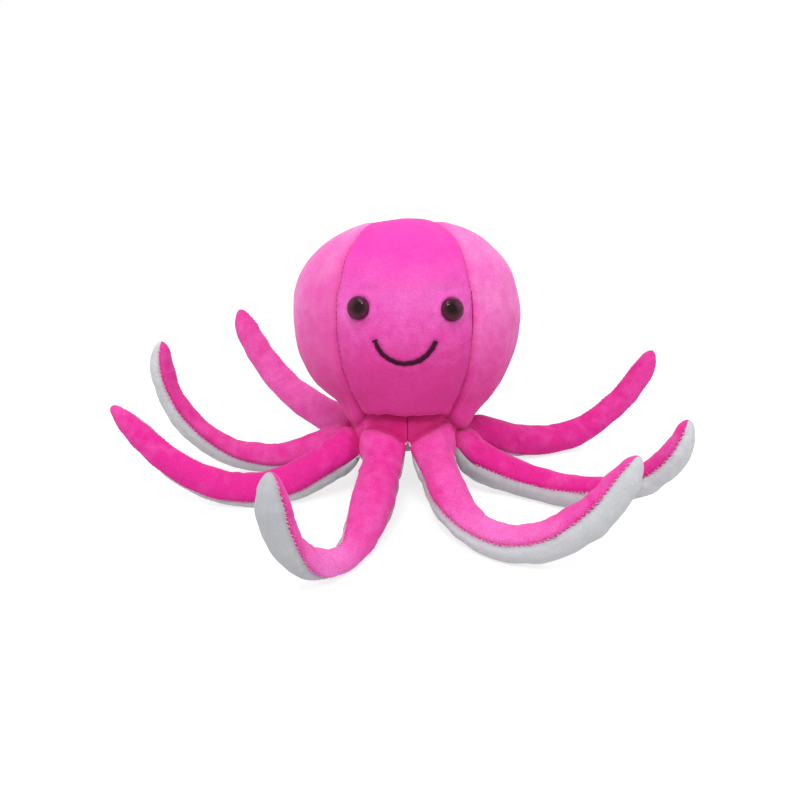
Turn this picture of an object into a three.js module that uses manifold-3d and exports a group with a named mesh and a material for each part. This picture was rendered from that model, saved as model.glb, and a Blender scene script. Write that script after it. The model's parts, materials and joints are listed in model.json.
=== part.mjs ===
// A plush octopus: a ball head of sewn panels on a small soft trunk, with eight stuffed arms.
// Millimetres, +Z up. The face looks along -Y, and left and right are those of someone facing it.
// The origin is the centre of the flat underside of the trunk, which hangs above the floor between the arms.

import * as THREE from 'three';
import { mergeVertices } from 'three/addons/utils/BufferGeometryUtils.js';
import Module from 'manifold-3d';

const wasm = await Module();
wasm.setup();

// Fabric and clearances
const skin = 1.4;
const fit = 0.4;
const overrun = 3;
const floorFlat = 0.5;
const fillingFit = 0.6;

// Trunk, and the ring on it that the arms are sewn to
const trunkFloorGap = 23;
const ringHeight = 5.5;
const ringRadius = 32;
const ringTilt = 8;
const bowlDepth = 8;
const bowlFootRadius = 10;
const bowlRimRadius = 26;

// Head, measured along its own axis from the plane of the neck seam
const headRadius = 72;
const neckRadius = 37;
const equatorHeight = 67;
const crownHeight = 58;
const crownSquareness = 0.9;
const poleRadius = 2;
const seamDip = 2;
const seamSharpness = 4;
const neckRise = 13;
const headLean = 22;
const headTurn = -2;
const frontPanelAngle = 70;
const frontPanelNeckAngle = 88;
const panelPoleLean = 12;
const otherPanels = ['side_panel_right', 'back_panel_right', 'back_panel_left', 'side_panel_left'];

// Eyes
const eyeRadius = 6.75;
const eyeDomeHeight = 4.4;
const eyeRimHeight = 0.8;
const eyeSpacing = 53;
const eyeHeight = 61.5;
const faceShift = 0.8;
const stemRadius = 1.8;
const stemLength = 9;
const washerRadius = 5;
const washerThickness = 1.3;

// Mouth, an arc of satin stitches
const mouthRadius = 18;
const mouthHalfAngle = 74;
const mouthLowest = 29.8;
const mouthWidth = 2.4;
const mouthThickness = 0.9;

// Arms
const armLength = 180;
const armRootRadius = 12;
const armWidthShares = [1, 0.98, 0.86, 0.75, 0.68, 0.6];
const armTipShare = 0.08;
const armDropRange = 15;
const armSwingSlack = 1.5;
const armSettleRange = 20;

// Each arm lies as it was laid down. Its heading turns from the front, 0, to the right, 90, and its climb is
// the angle above the level, both in degrees at equal steps from the root to the tip. Its roll turns the seam.
const arms = [
  {
    name: 'arm_front_left', root: -22.5, lift: 25,
    heading: [-13, -9, -17, -41, -60, -66],
    climb: [-16, -18, -17, 23, 72, 96],
    roll: [0, -8, -42, -20, 18, 25],
  },
  {
    name: 'arm_front_right', root: 22.5, lift: 25,
    heading: [22, 14, 42, 76, 92, 96],
    climb: [-17, -24, -9, 22, 48, 67],
    roll: [0, -8, -18, -24, -45, -60],
  },
  {
    name: 'arm_mid_right', root: 67.5, lift: 20,
    heading: [76, 68, 46, 40, 54, 70],
    climb: [-36, -16, 6, 30, 51, 94],
    roll: [0, -12, -18, -12, 0, 0],
  },
  {
    name: 'arm_rear_right', root: 112.5, lift: 7,
    heading: [117, 115, 111, 109, 113, 122],
    climb: [-3, -22, -5, 24, 43, 58],
    roll: [0, 40, 62, 60, 50, 45],
  },
  {
    name: 'arm_back_right', root: 157.5, lift: 6,
    heading: [158, 164, 168, 168, 166, 164],
    climb: [-26, -12, 4, 20, 38, 50],
    roll: [0, 0, 0, 0, 0, 0],
  },
  {
    name: 'arm_back_left', root: -157.5, lift: 6,
    heading: [-155, -140, -126, -122, -125, -129],
    climb: [-38, -6, 11, 29, 49, 61],
    roll: [0, -28, -40, -42, -40, -40],
  },
  {
    name: 'arm_rear_left', root: -112.5, lift: 7,
    heading: [-103, -85, -85, -95, -110, -127],
    climb: [-14, -22, 9, 36, 63, 101],
    roll: [0, -15, -15, 15, 25, 30],
  },
  {
    name: 'arm_mid_left', root: -67.5, lift: 20,
    heading: [-63, -66, -82, -102, -119, -126],
    climb: [-24, -21, 1, 24, 34, 28],
    roll: [0, -10, -28, -45, -45, -40],
  },
];

// Facets: how finely round shapes are cut
const ballSides = 24;
const ballRings = 12;
const panelColumns = 6;
const panelRows = 10;
const armSides = 10;
const armSteps = 11;
const capAngles = [20, 55];
const mouthSteps = 18;
const eyeSides = 18;
const cutterSides = 12;
const swingSteps = 3;
const eyeCrownSteps = 5;
const settleRounds = 40;

const rad = THREE.MathUtils.degToRad;
const lerp = THREE.MathUtils.lerp;

// Materials
const pink = { color: 0xe6359f, roughness: 0.9, metalness: 0 };
const palePink = { color: 0xf06ab8, roughness: 0.9, metalness: 0 };
const white = { color: 0xdcdcde, roughness: 0.9, metalness: 0 };
const stuffing = { color: 0xf4f4f2, roughness: 1, metalness: 0 };
const eyePlastic = { color: 0x120a0a, roughness: 0.15, metalness: 0 };
const washerPlastic = { color: 0xd8d8d8, roughness: 0.5, metalness: 0 };
const thread = { color: 0x2a0a1c, roughness: 0.6, metalness: 0 };

// Solids

function solidFromPoints(points, triangles) {
  const vertProperties = new Float32Array(points.flatMap((p) => [p.x, p.y, p.z]));
  const triVerts = new Uint32Array(triangles.flat());
  return new wasm.Manifold(new wasm.Mesh({ numProp: 3, vertProperties, triVerts }));
}

function solidFromGeometry(geometry) {
  geometry.deleteAttribute('normal');
  geometry.deleteAttribute('uv');
  const merged = mergeVertices(geometry);
  const vertProperties = new Float32Array(merged.attributes.position.array);
  const triVerts = new Uint32Array(merged.index.array);
  return new wasm.Manifold(new wasm.Mesh({ numProp: 3, vertProperties, triVerts }));
}

function geometryFromSolid(solid) {
  const mesh = solid.getMesh();
  const geometry = new THREE.BufferGeometry();
  geometry.setAttribute('position', new THREE.BufferAttribute(mesh.vertProperties, mesh.numProp));
  geometry.setIndex(new THREE.BufferAttribute(mesh.triVerts, 1));
  geometry.computeVertexNormals();
  return geometry;
}

function addPiece(group, name, solid, look) {
  const mesh = new THREE.Mesh(geometryFromSolid(solid), new THREE.MeshStandardMaterial(look));
  mesh.name = name;
  group.add(mesh);
}

// Joins rings of equally many points into a closed skin, with a fan over each end.
function loft(rings) {
  const count = rings[0].length;
  const triangles = [];
  for (let i = 0; i + 1 < rings.length; i += 1) {
    for (let j = 0; j < count; j += 1) {
      const a = i * count + j;
      const b = i * count + ((j + 1) % count);
      triangles.push([a, b, b + count], [a, b + count, a + count]);
    }
  }
  const last = (rings.length - 1) * count;
  for (let j = 1; j + 1 < count; j += 1) {
    triangles.push([0, j + 1, j], [last, last + j, last + j + 1]);
  }
  return solidFromPoints(rings.flat(), triangles);
}

function ball(radius) {
  return solidFromGeometry(new THREE.SphereGeometry(radius, ballSides, ballRings).rotateX(rad(90)));
}

function boxBelow(height, reach) {
  const box = new THREE.BoxGeometry(2 * reach, 2 * reach, reach);
  return solidFromGeometry(box.translate(0, 0, height - reach / 2));
}

function lathe(profile, sides) {
  const points = profile.map(([r, z]) => new THREE.Vector2(r, z));
  return solidFromGeometry(new THREE.LatheGeometry(points, sides).rotateX(rad(90)));
}

// Head: its surface is worked out around the centre of its equator, then measured from the neck seam.

const headLift = neckRise + equatorHeight;
const neckAngle = THREE.MathUtils.radToDeg(Math.acos(neckRadius / headRadius));
const lowerHeight = equatorHeight / Math.sin(rad(neckAngle));
const poleAngle = THREE.MathUtils.radToDeg(Math.acos((poleRadius / headRadius) ** (1 / crownSquareness)));

// The radius and the height over the equator at an angle up the profile, 0 at the equator.
function headProfile(angle) {
  if (angle < 0) {
    return [headRadius * Math.cos(angle), lowerHeight * Math.sin(angle)];
  }
  const r = headRadius * Math.cos(angle) ** crownSquareness;
  return [r, crownHeight * Math.sin(angle) ** crownSquareness];
}

// The bearings, in degrees from the front, of the seams before and after a panel, at a share of the way
// from the neck to the pole. The front panel widens from the equator down to the neck.
function panelBearings(panel, rise) {
  const equatorRise = neckAngle / (neckAngle + poleAngle);
  const front = lerp(frontPanelNeckAngle, frontPanelAngle, Math.min(rise / equatorRise, 1));
  if (panel === 0) {
    return [-front / 2, front / 2];
  }
  const other = (360 - front) / otherPanels.length;
  return [front / 2 + (panel - 1) * other, front / 2 + panel * other];
}

// A point of the head on a bearing, at a share of the way from the neck to the pole and a depth under the
// fabric. The seams' pole leans back from the head's axis. The pull is how far a seam draws the fabric in.
function headPoint(bearing, rise, pull, depth) {
  const angle = rad(lerp(-neckAngle, poleAngle, rise));
  const turn = rad(bearing);
  const level = Math.cos(angle);
  const way = new THREE.Vector3(level * Math.sin(turn), -level * Math.cos(turn), Math.sin(angle));
  way.applyAxisAngle(new THREE.Vector3(1, 0, 0), -rad(panelPoleLean) * rise);
  return headSurface(Math.atan2(way.x, -way.y), Math.asin(way.z), pull + depth);
}

function headSurface(turn, angle, depth) {
  const [r, z] = headProfile(angle);
  const scale = 1 - depth / headRadius;
  return new THREE.Vector3(scale * r * Math.sin(turn), -scale * r * Math.cos(turn), headLift + scale * z);
}

// The share is 0 and 1 at a panel's two seams, where the fabric is drawn in.
function seamPull(share) {
  return seamDip * Math.abs(2 * share - 1) ** seamSharpness;
}

// Where the front panel lies at a given distance to the right and a given height over the neck seam.
function frontPoint(x, height) {
  const angle = Math.asin((height - equatorHeight) / lowerHeight);
  const turn = Math.asin(x / (headRadius * Math.cos(angle)));
  const rise = (THREE.MathUtils.radToDeg(angle) + neckAngle) / (neckAngle + poleAngle);
  const share = turn / rad(2 * panelBearings(0, rise)[1]) + 0.5;
  return headSurface(turn, angle, seamPull(share));
}

function frontNormal(x, height) {
  const step = skin;
  const across = frontPoint(x + step, height).sub(frontPoint(x - step, height));
  const up = frontPoint(x, height + step).sub(frontPoint(x, height - step));
  return across.cross(up).normalize();
}

// One row of a panel's points, short of both seams by half the clearance.
function panelRow(panel, rise, depth) {
  const [start, end] = panelBearings(panel, rise);
  const level = Math.cos(rad(lerp(-neckAngle, poleAngle, rise)));
  const gap = THREE.MathUtils.radToDeg(fit / 2 / headRadius / level);
  const edge = Math.min(gap / (end - start), 1 / 4);
  const row = [];
  for (let column = 0; column <= panelColumns; column += 1) {
    const share = lerp(edge, 1 - edge, column / panelColumns);
    row.push(headPoint(lerp(start, end, share), rise, seamPull(share), depth));
  }
  return row;
}

// A panel is a curved sheet: its rings run along the outside and back along the inside. Both sides are cut
// into facets the same way, so that the panel is equally thick all over.
function panelSolid(panel) {
  const rings = [];
  for (let row = 0; row <= panelRows; row += 1) {
    const rise = row / panelRows;
    rings.push([...panelRow(panel, rise, 0), ...panelRow(panel, rise, skin).reverse()]);
  }
  const count = rings[0].length;
  const triangles = [];
  for (let i = 0; i + 1 < rings.length; i += 1) {
    for (let j = 0; j < count; j += 1) {
      const a = i * count + j;
      const b = i * count + ((j + 1) % count);
      if (j > panelColumns) {
        triangles.push([a, b, a + count], [b, b + count, a + count]);
      } else {
        triangles.push([a, b, b + count], [a, b + count, a + count]);
      }
    }
  }
  const last = (rings.length - 1) * count;
  for (let j = 0; j < panelColumns; j += 1) {
    const back = count - 1 - j;
    triangles.push([j, back - 1, j + 1], [j, back, back - 1]);
    triangles.push([last + j, last + j + 1, last + back - 1], [last + j, last + back - 1, last + back]);
  }
  return solidFromPoints(rings.flat(), triangles);
}

function headFillingSolid() {
  const rings = [];
  for (let row = 0; row <= panelRows; row += 1) {
    const rise = row / panelRows;
    const ring = [];
    for (let panel = 0; panel <= otherPanels.length; panel += 1) {
      const [start, end] = panelBearings(panel, rise);
      for (let column = 0; column < panelColumns; column += 1) {
        const share = column / panelColumns;
        ring.push(headPoint(lerp(start, end, share), rise, seamPull(share), skin + fillingFit));
      }
    }
    rings.push(ring);
  }
  return loft(rings);
}

// Everything below this tilted plane is left to the arms' roots, so the lower back of the head lies flat on them.
function armSpaceInHead() {
  const reach = 3 * headRadius;
  const box = new THREE.BoxGeometry(2 * reach, 2 * reach, reach);
  box.translate(0, 0, armRootRadius + fit - reach / 2);
  box.rotateX(rad(headLean - ringTilt));
  return solidFromGeometry(box.rotateZ(-rad(headTurn)));
}

function eyeSolid() {
  const profile = [[0, -stemLength], [stemRadius, -stemLength], [stemRadius, fit], [eyeRadius, fit]];
  for (let i = 0; i <= eyeCrownSteps; i += 1) {
    const angle = rad(90) * i / eyeCrownSteps;
    const r = i === eyeCrownSteps ? 0 : eyeRadius * Math.cos(angle);
    profile.push([r, fit + eyeRimHeight + (eyeDomeHeight - eyeRimHeight) * Math.sin(angle)]);
  }
  return lathe(profile, eyeSides);
}

function ringSolid(innerRadius, outerRadius, bottom, top) {
  const profile = [[innerRadius, bottom], [outerRadius, bottom], [outerRadius, top], [innerRadius, top]];
  return lathe([...profile, profile[0]], eyeSides);
}

function plugSolid(radius, bottom, top) {
  return lathe([[0, bottom], [radius, bottom], [radius, top], [0, top]], eyeSides);
}

// Turns a solid made around the Z axis to stand on the face at an eye's place.
function standOnFace(solid, x, height) {
  const place = new THREE.Matrix4();
  const turn = new THREE.Quaternion().setFromUnitVectors(new THREE.Vector3(0, 0, 1), frontNormal(x, height));
  place.compose(frontPoint(x, height), turn, new THREE.Vector3(1, 1, 1));
  return solid.transform(place.elements);
}

function mouthSolid() {
  const rings = [];
  for (let i = 0; i <= mouthSteps; i += 1) {
    const angle = rad(lerp(-mouthHalfAngle, mouthHalfAngle, i / mouthSteps));
    const x = faceShift + mouthRadius * Math.sin(angle);
    const height = mouthLowest + mouthRadius * (1 - Math.cos(angle));
    const place = frontPoint(x, height);
    const out = frontNormal(x, height);
    const along = new THREE.Vector3(Math.cos(angle), 0, Math.sin(angle));
    const across = new THREE.Vector3().crossVectors(out, along).normalize();
    const low = fit + mouthThickness / 2;
    const corners = [[-1, fit], [1, fit], [1, low], [0, fit + mouthThickness], [-1, low]];
    rings.push(corners.map(([side, high]) => place.clone()
      .addScaledVector(across, side * mouthWidth / 2)
      .addScaledVector(out, high)));
  }
  return loft(rings);
}

function buildHead() {
  const head = new THREE.Group();
  head.position.z = ringHeight;
  head.rotation.x = -rad(headLean);
  const turned = new THREE.Group();
  turned.rotation.z = rad(headTurn);
  head.add(turned);

  const armSpace = armSpaceInHead();
  let frontPanel = panelSolid(0);
  let filling = headFillingSolid().subtract(ball(socketRadius)).subtract(armSpace);
  const stemHole = plugSolid(stemRadius + fit, -stemLength, overrun);
  const pocket = plugSolid(washerRadius + fit, -stemLength - fit, overrun);
  const washerTop = -skin - fit - seamDip;
  const washer = ringSolid(stemRadius + fit, washerRadius, washerTop - washerThickness, washerTop);
  for (const [name, side] of [['left_eye', -1], ['right_eye', 1]]) {
    const x = faceShift + side * eyeSpacing / 2;
    frontPanel = frontPanel.subtract(standOnFace(stemHole, x, eyeHeight));
    filling = filling.subtract(standOnFace(pocket, x, eyeHeight));
    addPiece(turned, name, standOnFace(eyeSolid(), x, eyeHeight), eyePlastic);
    addPiece(turned, `${name}_washer`, standOnFace(washer, x, eyeHeight), washerPlastic);
  }
  addPiece(turned, 'head_front_panel', frontPanel.subtract(armSpace), pink);
  otherPanels.forEach((name, i) => {
    addPiece(turned, `head_${name}`, panelSolid(i + 1).subtract(armSpace), palePink);
  });
  addPiece(turned, 'head_filling', filling, stuffing);
  addPiece(turned, 'mouth_stitching', mouthSolid(), thread);
  return head;
}

// Arms

function rootPlace(arm) {
  const turn = rad(arm.root);
  const flat = new THREE.Vector3(Math.sin(turn), -Math.cos(turn), 0).multiplyScalar(ringRadius);
  flat.applyAxisAngle(new THREE.Vector3(1, 0, 0), -rad(ringTilt));
  return flat.add(new THREE.Vector3(0, 0, ringHeight));
}

function tableValue(table, share) {
  const place = Math.min(share, 1) * (table.length - 1);
  const index = Math.min(Math.floor(place), table.length - 2);
  return lerp(table[index], table[index + 1], place - index);
}

// The directions forward, to the right and up of an arm at a share of its length.
function armDirections(arm, share) {
  const heading = rad(tableValue(arm.heading, share));
  const climb = rad(tableValue(arm.climb, share));
  const forward = new THREE.Vector3(
    Math.sin(heading) * Math.cos(climb),
    -Math.cos(heading) * Math.cos(climb),
    Math.sin(climb),
  );
  const right = new THREE.Vector3(Math.cos(heading), Math.sin(heading), 0);
  const up = new THREE.Vector3().crossVectors(forward, right);
  const roll = rad(tableValue(arm.roll, share));
  right.applyAxisAngle(forward, roll);
  up.applyAxisAngle(forward, roll);
  return { forward, right, up };
}

// The stations of an arm from its round root to its round tip, each with a place, directions and a radius.
function armStations(arm) {
  const stations = [];
  const place = rootPlace(arm);
  const start = armDirections(arm, 0);
  for (const angle of capAngles) {
    const back = -armRootRadius * Math.cos(rad(angle));
    stations.push({ place: place.clone().addScaledVector(start.forward, back), ...start,
      radius: armRootRadius * Math.sin(rad(angle)) });
  }
  const bodyShare = 1 - armTipShare;
  let share = 0;
  for (let i = 0; i <= armSteps; i += 1) {
    const next = bodyShare * i / armSteps;
    const middle = armDirections(arm, (share + next) / 2);
    place.addScaledVector(middle.forward, (next - share) * armLength);
    share = next;
    stations.push({ place: place.clone(), ...armDirections(arm, share),
      radius: armRootRadius * tableValue(armWidthShares, share) });
  }
  const tip = stations[stations.length - 1];
  for (const angle of [...capAngles].reverse()) {
    const ahead = armTipShare * armLength * Math.cos(rad(angle));
    stations.push({ ...tip, place: tip.place.clone().addScaledVector(tip.forward, ahead),
      radius: tip.radius * Math.sin(rad(angle)) });
  }
  return stations;
}

function armLowest(stations) {
  const heights = stations.map(({ place, forward, radius }) => {
    return place.z - radius * Math.hypot(forward.x, forward.y);
  });
  return Math.min(...heights);
}

function liftAxis(arm) {
  const heading = rad(arm.heading[0]);
  return new THREE.Vector3(-Math.cos(heading), -Math.sin(heading), 0);
}

function turnedStations(arm, stations, angle) {
  const axis = liftAxis(arm);
  const root = rootPlace(arm);
  return stations.map((station) => ({
    place: station.place.clone().sub(root).applyAxisAngle(axis, angle).add(root),
    forward: station.forward.clone().applyAxisAngle(axis, angle),
    right: station.right.clone().applyAxisAngle(axis, angle),
    up: station.up.clone().applyAxisAngle(axis, angle),
    radius: station.radius,
  }));
}

// Lowers or lifts an arm about its root until the floor just flattens its lowest stretch.
function settledStations(arm) {
  const laid = armStations(arm);
  const floor = -trunkFloorGap - floorFlat;
  let low = -rad(armSettleRange);
  let high = rad(armSettleRange);
  for (let i = 0; i < settleRounds; i += 1) {
    const middle = (low + high) / 2;
    if (armLowest(turnedStations(arm, laid, middle)) < floor) {
      low = middle;
    } else {
      high = middle;
    }
  }
  return turnedStations(arm, laid, high);
}

function ringAround(station, radius) {
  const ring = [];
  for (let i = 0; i < armSides; i += 1) {
    const angle = rad(360) * i / armSides;
    ring.push(station.place.clone()
      .addScaledVector(station.right, radius * Math.cos(angle))
      .addScaledVector(station.up, radius * Math.sin(angle)));
  }
  return ring;
}

// Half of a section, above the seam for side 1 and below it for side -1, and off the seam by half the clearance.
function halfRing(station, side) {
  const ring = [];
  const half = armSides / 2;
  for (let i = 0; i <= half; i += 1) {
    const angle = rad(180) * i / half;
    const high = Math.max(station.radius * Math.sin(angle), fit / 2);
    const wide = Math.cos(angle) * station.radius;
    ring.push(station.place.clone()
      .addScaledVector(station.right, wide * side)
      .addScaledVector(station.up, high * side));
  }
  return ring;
}

function innerTube(stations, inset) {
  const inside = stations.filter(({ radius }) => radius > 2 * skin + 2 * fit);
  const rings = inside.map((station, i) => {
    let shift = 0;
    if (i === 0) {
      shift = inset;
    }
    if (i === inside.length - 1) {
      shift = -inset;
    }
    const moved = { ...station, place: station.place.clone().addScaledVector(station.forward, shift) };
    return ringAround(moved, station.radius - inset);
  });
  return loft(rings);
}

function buildArm(group, arm) {
  const stations = settledStations(arm);
  const floor = boxBelow(-trunkFloorGap, 2 * armLength);
  const cavity = innerTube(stations, skin);
  const top = loft(stations.map((station) => halfRing(station, 1))).subtract(cavity);
  const under = loft(stations.map((station) => halfRing(station, -1))).subtract(cavity);
  addPiece(group, `${arm.name}_top`, top.subtract(floor), pink);
  addPiece(group, `${arm.name}_under`, under.subtract(floor), white);
  addPiece(group, `${arm.name}_filling`, innerTube(stations, skin + fit), stuffing);
}

// Trunk: a dome over the ring, which fills the head's open neck, and a shallow bowl under it.

const neckEdge = 1 - skin / headRadius;
const trunkBallRadius = Math.hypot(neckRadius * neckEdge, headLift - equatorHeight * neckEdge) - fit;

const socketRadius = (trunkBallRadius + fit) / Math.cos(rad(180 / ballSides)) ** 2;

// The half of space over a level plane, or under it for side -1.
function halfSpace(height, side) {
  const reach = 3 * ringRadius;
  const box = new THREE.BoxGeometry(2 * reach, 2 * reach, reach);
  return solidFromGeometry(box.translate(0, 0, height + side * reach / 2));
}

function bowlSolid(inset) {
  const foot = bowlFootRadius - inset;
  const rim = bowlRimRadius - inset;
  return lathe([[0, -bowlDepth], [foot, -bowlDepth], [rim, 0], [rim, overrun], [0, overrun]], ballSides);
}

function levelTrunkBottom(solid, height) {
  const leaned = solid.rotate([-ringTilt, 0, 0]);
  return leaned.subtract(halfSpace(height - ringHeight, -1)).rotate([ringTilt, 0, 0]);
}

// The room that one arm's root needs through its whole swing, from hanging down to lifted.
function swingSpace(arm) {
  const space = armRootRadius + fit;
  const start = armDirections(arm, 0);
  const settled = settledStations(arm)[capAngles.length];
  const axis = liftAxis(arm);
  const root = rootPlace(arm).sub(new THREE.Vector3(0, 0, ringHeight));
  const cutter = space / Math.cos(rad(180 / cutterSides));
  const round = new THREE.SphereGeometry(cutter, cutterSides, cutterSides / 2);
  let solid = solidFromGeometry(round.translate(root.x, root.y, root.z));
  for (let i = 0; i <= swingSteps; i += 1) {
    const angle = rad(lerp(-armDropRange - armSwingSlack, arm.lift + armSwingSlack, i / swingSteps));
    const forward = settled.forward.clone().applyAxisAngle(axis, angle);
    const tube = new THREE.CylinderGeometry(cutter, cutter, ringRadius, cutterSides);
    tube.translate(0, ringRadius / 2, 0);
    const turn = new THREE.Quaternion().setFromUnitVectors(new THREE.Vector3(0, 1, 0), forward);
    tube.applyQuaternion(turn).translate(root.x, root.y, root.z);
    solid = solid.add(solidFromGeometry(tube));
  }
  return solid;
}

function buildTrunk() {
  const trunk = new THREE.Group();
  trunk.position.z = ringHeight;
  trunk.rotation.x = -rad(ringTilt);
  const over = halfSpace(fit / 2, 1);
  const under = halfSpace(-fit / 2, -1);
  let top = ball(trunkBallRadius).subtract(ball(trunkBallRadius - skin)).intersect(over);
  let base = levelTrunkBottom(bowlSolid(0), 0);
  base = base.subtract(levelTrunkBottom(bowlSolid(skin), skin)).intersect(under);
  let filling = ball(trunkBallRadius - skin - fit).intersect(over);
  filling = filling.add(levelTrunkBottom(bowlSolid(skin + fit), skin + fit));
  for (const arm of arms) {
    const space = swingSpace(arm).rotate([ringTilt, 0, 0]);
    top = top.subtract(space);
    base = base.subtract(space);
    filling = filling.subtract(space);
  }
  addPiece(trunk, 'trunk_top', top, pink);
  addPiece(trunk, 'trunk_base', base, white);
  addPiece(trunk, 'trunk_filling', filling, stuffing);
  return trunk;
}

const octopus = new THREE.Group();
octopus.add(buildHead());
octopus.add(buildTrunk());
for (const arm of arms) {
  buildArm(octopus, arm);
}

export default octopus;
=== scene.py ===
"""The plush octopus in Blender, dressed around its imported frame.

Lengths are in metres and angles in degrees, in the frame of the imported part: +Z up, the face towards -Y,
and left and right as seen by someone who faces it. The skins follow the same rules as the solids they
replace, and their places come from the frame's joints and its box.
"""

from __future__ import annotations

import json
import logging
import math
from dataclasses import dataclass, field
from enum import Enum
from typing import Iterable, Sequence

import bpy
import numpy as np
from bpy.types import ID, ColorRamp, Material, Node, NodeSocket, NodeTree, Object
from mathutils import Matrix, Vector


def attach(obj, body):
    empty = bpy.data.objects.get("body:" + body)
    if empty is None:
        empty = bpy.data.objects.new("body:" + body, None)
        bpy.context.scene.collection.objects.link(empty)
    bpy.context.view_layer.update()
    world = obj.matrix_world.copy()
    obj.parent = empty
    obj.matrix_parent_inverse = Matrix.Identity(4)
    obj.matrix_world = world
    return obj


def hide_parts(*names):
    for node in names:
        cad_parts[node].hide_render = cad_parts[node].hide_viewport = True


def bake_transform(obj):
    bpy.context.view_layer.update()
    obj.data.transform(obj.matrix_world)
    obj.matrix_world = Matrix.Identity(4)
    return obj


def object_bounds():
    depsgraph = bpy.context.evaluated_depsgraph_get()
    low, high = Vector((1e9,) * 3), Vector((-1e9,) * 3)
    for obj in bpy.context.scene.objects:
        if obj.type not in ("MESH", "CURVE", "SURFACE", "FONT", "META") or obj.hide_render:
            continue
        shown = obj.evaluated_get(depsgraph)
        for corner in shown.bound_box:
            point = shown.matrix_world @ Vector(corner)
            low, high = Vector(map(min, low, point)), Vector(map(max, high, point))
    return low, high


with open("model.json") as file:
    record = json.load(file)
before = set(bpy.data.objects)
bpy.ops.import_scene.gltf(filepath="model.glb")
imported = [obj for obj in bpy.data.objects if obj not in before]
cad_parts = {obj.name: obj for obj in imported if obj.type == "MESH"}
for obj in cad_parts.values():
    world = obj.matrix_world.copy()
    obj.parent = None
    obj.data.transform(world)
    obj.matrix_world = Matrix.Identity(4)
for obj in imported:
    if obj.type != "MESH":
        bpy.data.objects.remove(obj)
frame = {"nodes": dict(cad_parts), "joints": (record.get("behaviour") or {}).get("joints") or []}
CAD_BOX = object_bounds()

log = logging.getLogger("octopus")
Array = np.ndarray
MM = 0.001
JOINTS = {joint["name"]: joint for joint in frame["joints"]}
HEAD_HINGE = JOINTS["head_nod"]["pos_m"]
FLOOR_HEIGHT = CAD_BOX[0].z
UP = np.array([0.0, 0.0, 1.0])
LEVEL = np.array([1.0, 1.0, 0.0])


class Slot(Enum):
    """The kinds of finish that the new pieces take, named after the record's material slots."""

    PINK = "pink_plush"
    SIDE = "side_plush"
    WHITE = "white_plush"
    EYE = "eye_plastic"
    MOUTH = "mouth_thread"


# Numbers and directions


def unit(vectors: Array) -> Array:
    """Scales vectors to length 1.

    Args:
        vectors: An array whose last axis holds x, y and z.

    Returns:
        The same directions with length 1.
    """
    return vectors / np.maximum(np.linalg.norm(vectors, axis=-1, keepdims=True), 1e-12)


def ease(values: Array | float) -> Array:
    """Rises smoothly from 0 to 1 as the value does, and stays there."""
    held = np.clip(values, 0.0, 1.0)
    return held * held * (3.0 - 2.0 * held)


def hump(distance: Array, width: float) -> Array:
    """A smooth hump, 1 at distance 0 and nearly gone at twice the width."""
    return np.exp(-((distance / width) ** 2))


def direction(bearing: Array, climb: Array | float = 0.0) -> Array:
    """Directions at bearings from the front, 0, to the right, 90, and at angles over the level."""
    turn, rise = np.radians(bearing), np.radians(climb)
    level = np.cos(rise)
    return np.stack([level * np.sin(turn), -level * np.cos(turn), np.sin(rise) + 0.0 * turn], -1)


@dataclass(frozen=True)
class Fold:
    """A soft fold that runs beside a line, such as a seam.

    Args:
        depth: How far it goes in, or out where it is below 0.
        width: How wide it is.
        away: How far from the line it lies.
    """

    depth: float
    width: float
    away: float = 0.0

    def at(self, distance: Array) -> Array:
        """How deep the fold is at distances from the line."""
        return self.depth * hump(distance - self.away, self.width)


def turned(vectors: Array, axis: Sequence[float], degrees: float | Array) -> Array:
    """Turns vectors about an axis through the origin.

    Args:
        vectors: An array whose last axis holds x, y and z.
        axis: The axis, or one for each vector.
        degrees: The angle by the right-hand rule, or one for each vector.

    Returns:
        The turned vectors.
    """
    line = unit(np.asarray(axis, float))
    angle = np.radians(degrees)
    cos = np.cos(angle)[..., None] if np.ndim(angle) else math.cos(angle)
    sin = np.sin(angle)[..., None] if np.ndim(angle) else math.sin(angle)
    along = (vectors * line).sum(-1, keepdims=True) * line
    return vectors * cos + np.cross(line, vectors) * sin + along * (1.0 - cos)


@dataclass(frozen=True)
class Lumps:
    """The soft unevenness of a stuffed surface.

    Args:
        size: The distance from one lump to the next.
        height: About how far the highest lumps stand out.
        seed: Fixes where the lumps lie.
        waves: How many waves cross each other.
        gain: Brings the mean of the waves up to the height.
    """

    size: float
    height: float
    seed: int
    waves: int = 14
    gain: float = 2.2

    def at(self, points: Array) -> Array:
        """Works out the height of the lumps at some points.

        Args:
            points: An array whose last axis holds x, y and z.

        Returns:
            One height for each point.
        """
        rng = np.random.default_rng(self.seed)
        ways = unit(rng.normal(size=(self.waves, 3)))
        rates = rng.uniform(0.6, 1.5, self.waves) * math.tau / self.size
        starts = rng.uniform(0.0, math.tau, self.waves)
        waves = np.sin(points @ (ways * rates[:, None]).T + starts)
        return self.height * waves.mean(-1) * self.gain


def levelled(swell: Array) -> Array:
    """Calms a simulated swelling, so that the shape keeps its size.

    Args:
        swell: How far each point swells, shaped rings by sides.

    Returns:
        Half of it, smoothed from ring to ring, less its mean.
    """
    padded = np.concatenate([swell[:1], swell, swell[-1:]])
    smooth = 0.25 * padded[:-2] + 0.5 * padded[1:-1] + 0.25 * padded[2:]
    return 0.5 * (smooth - smooth.mean())


# Skins


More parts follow.
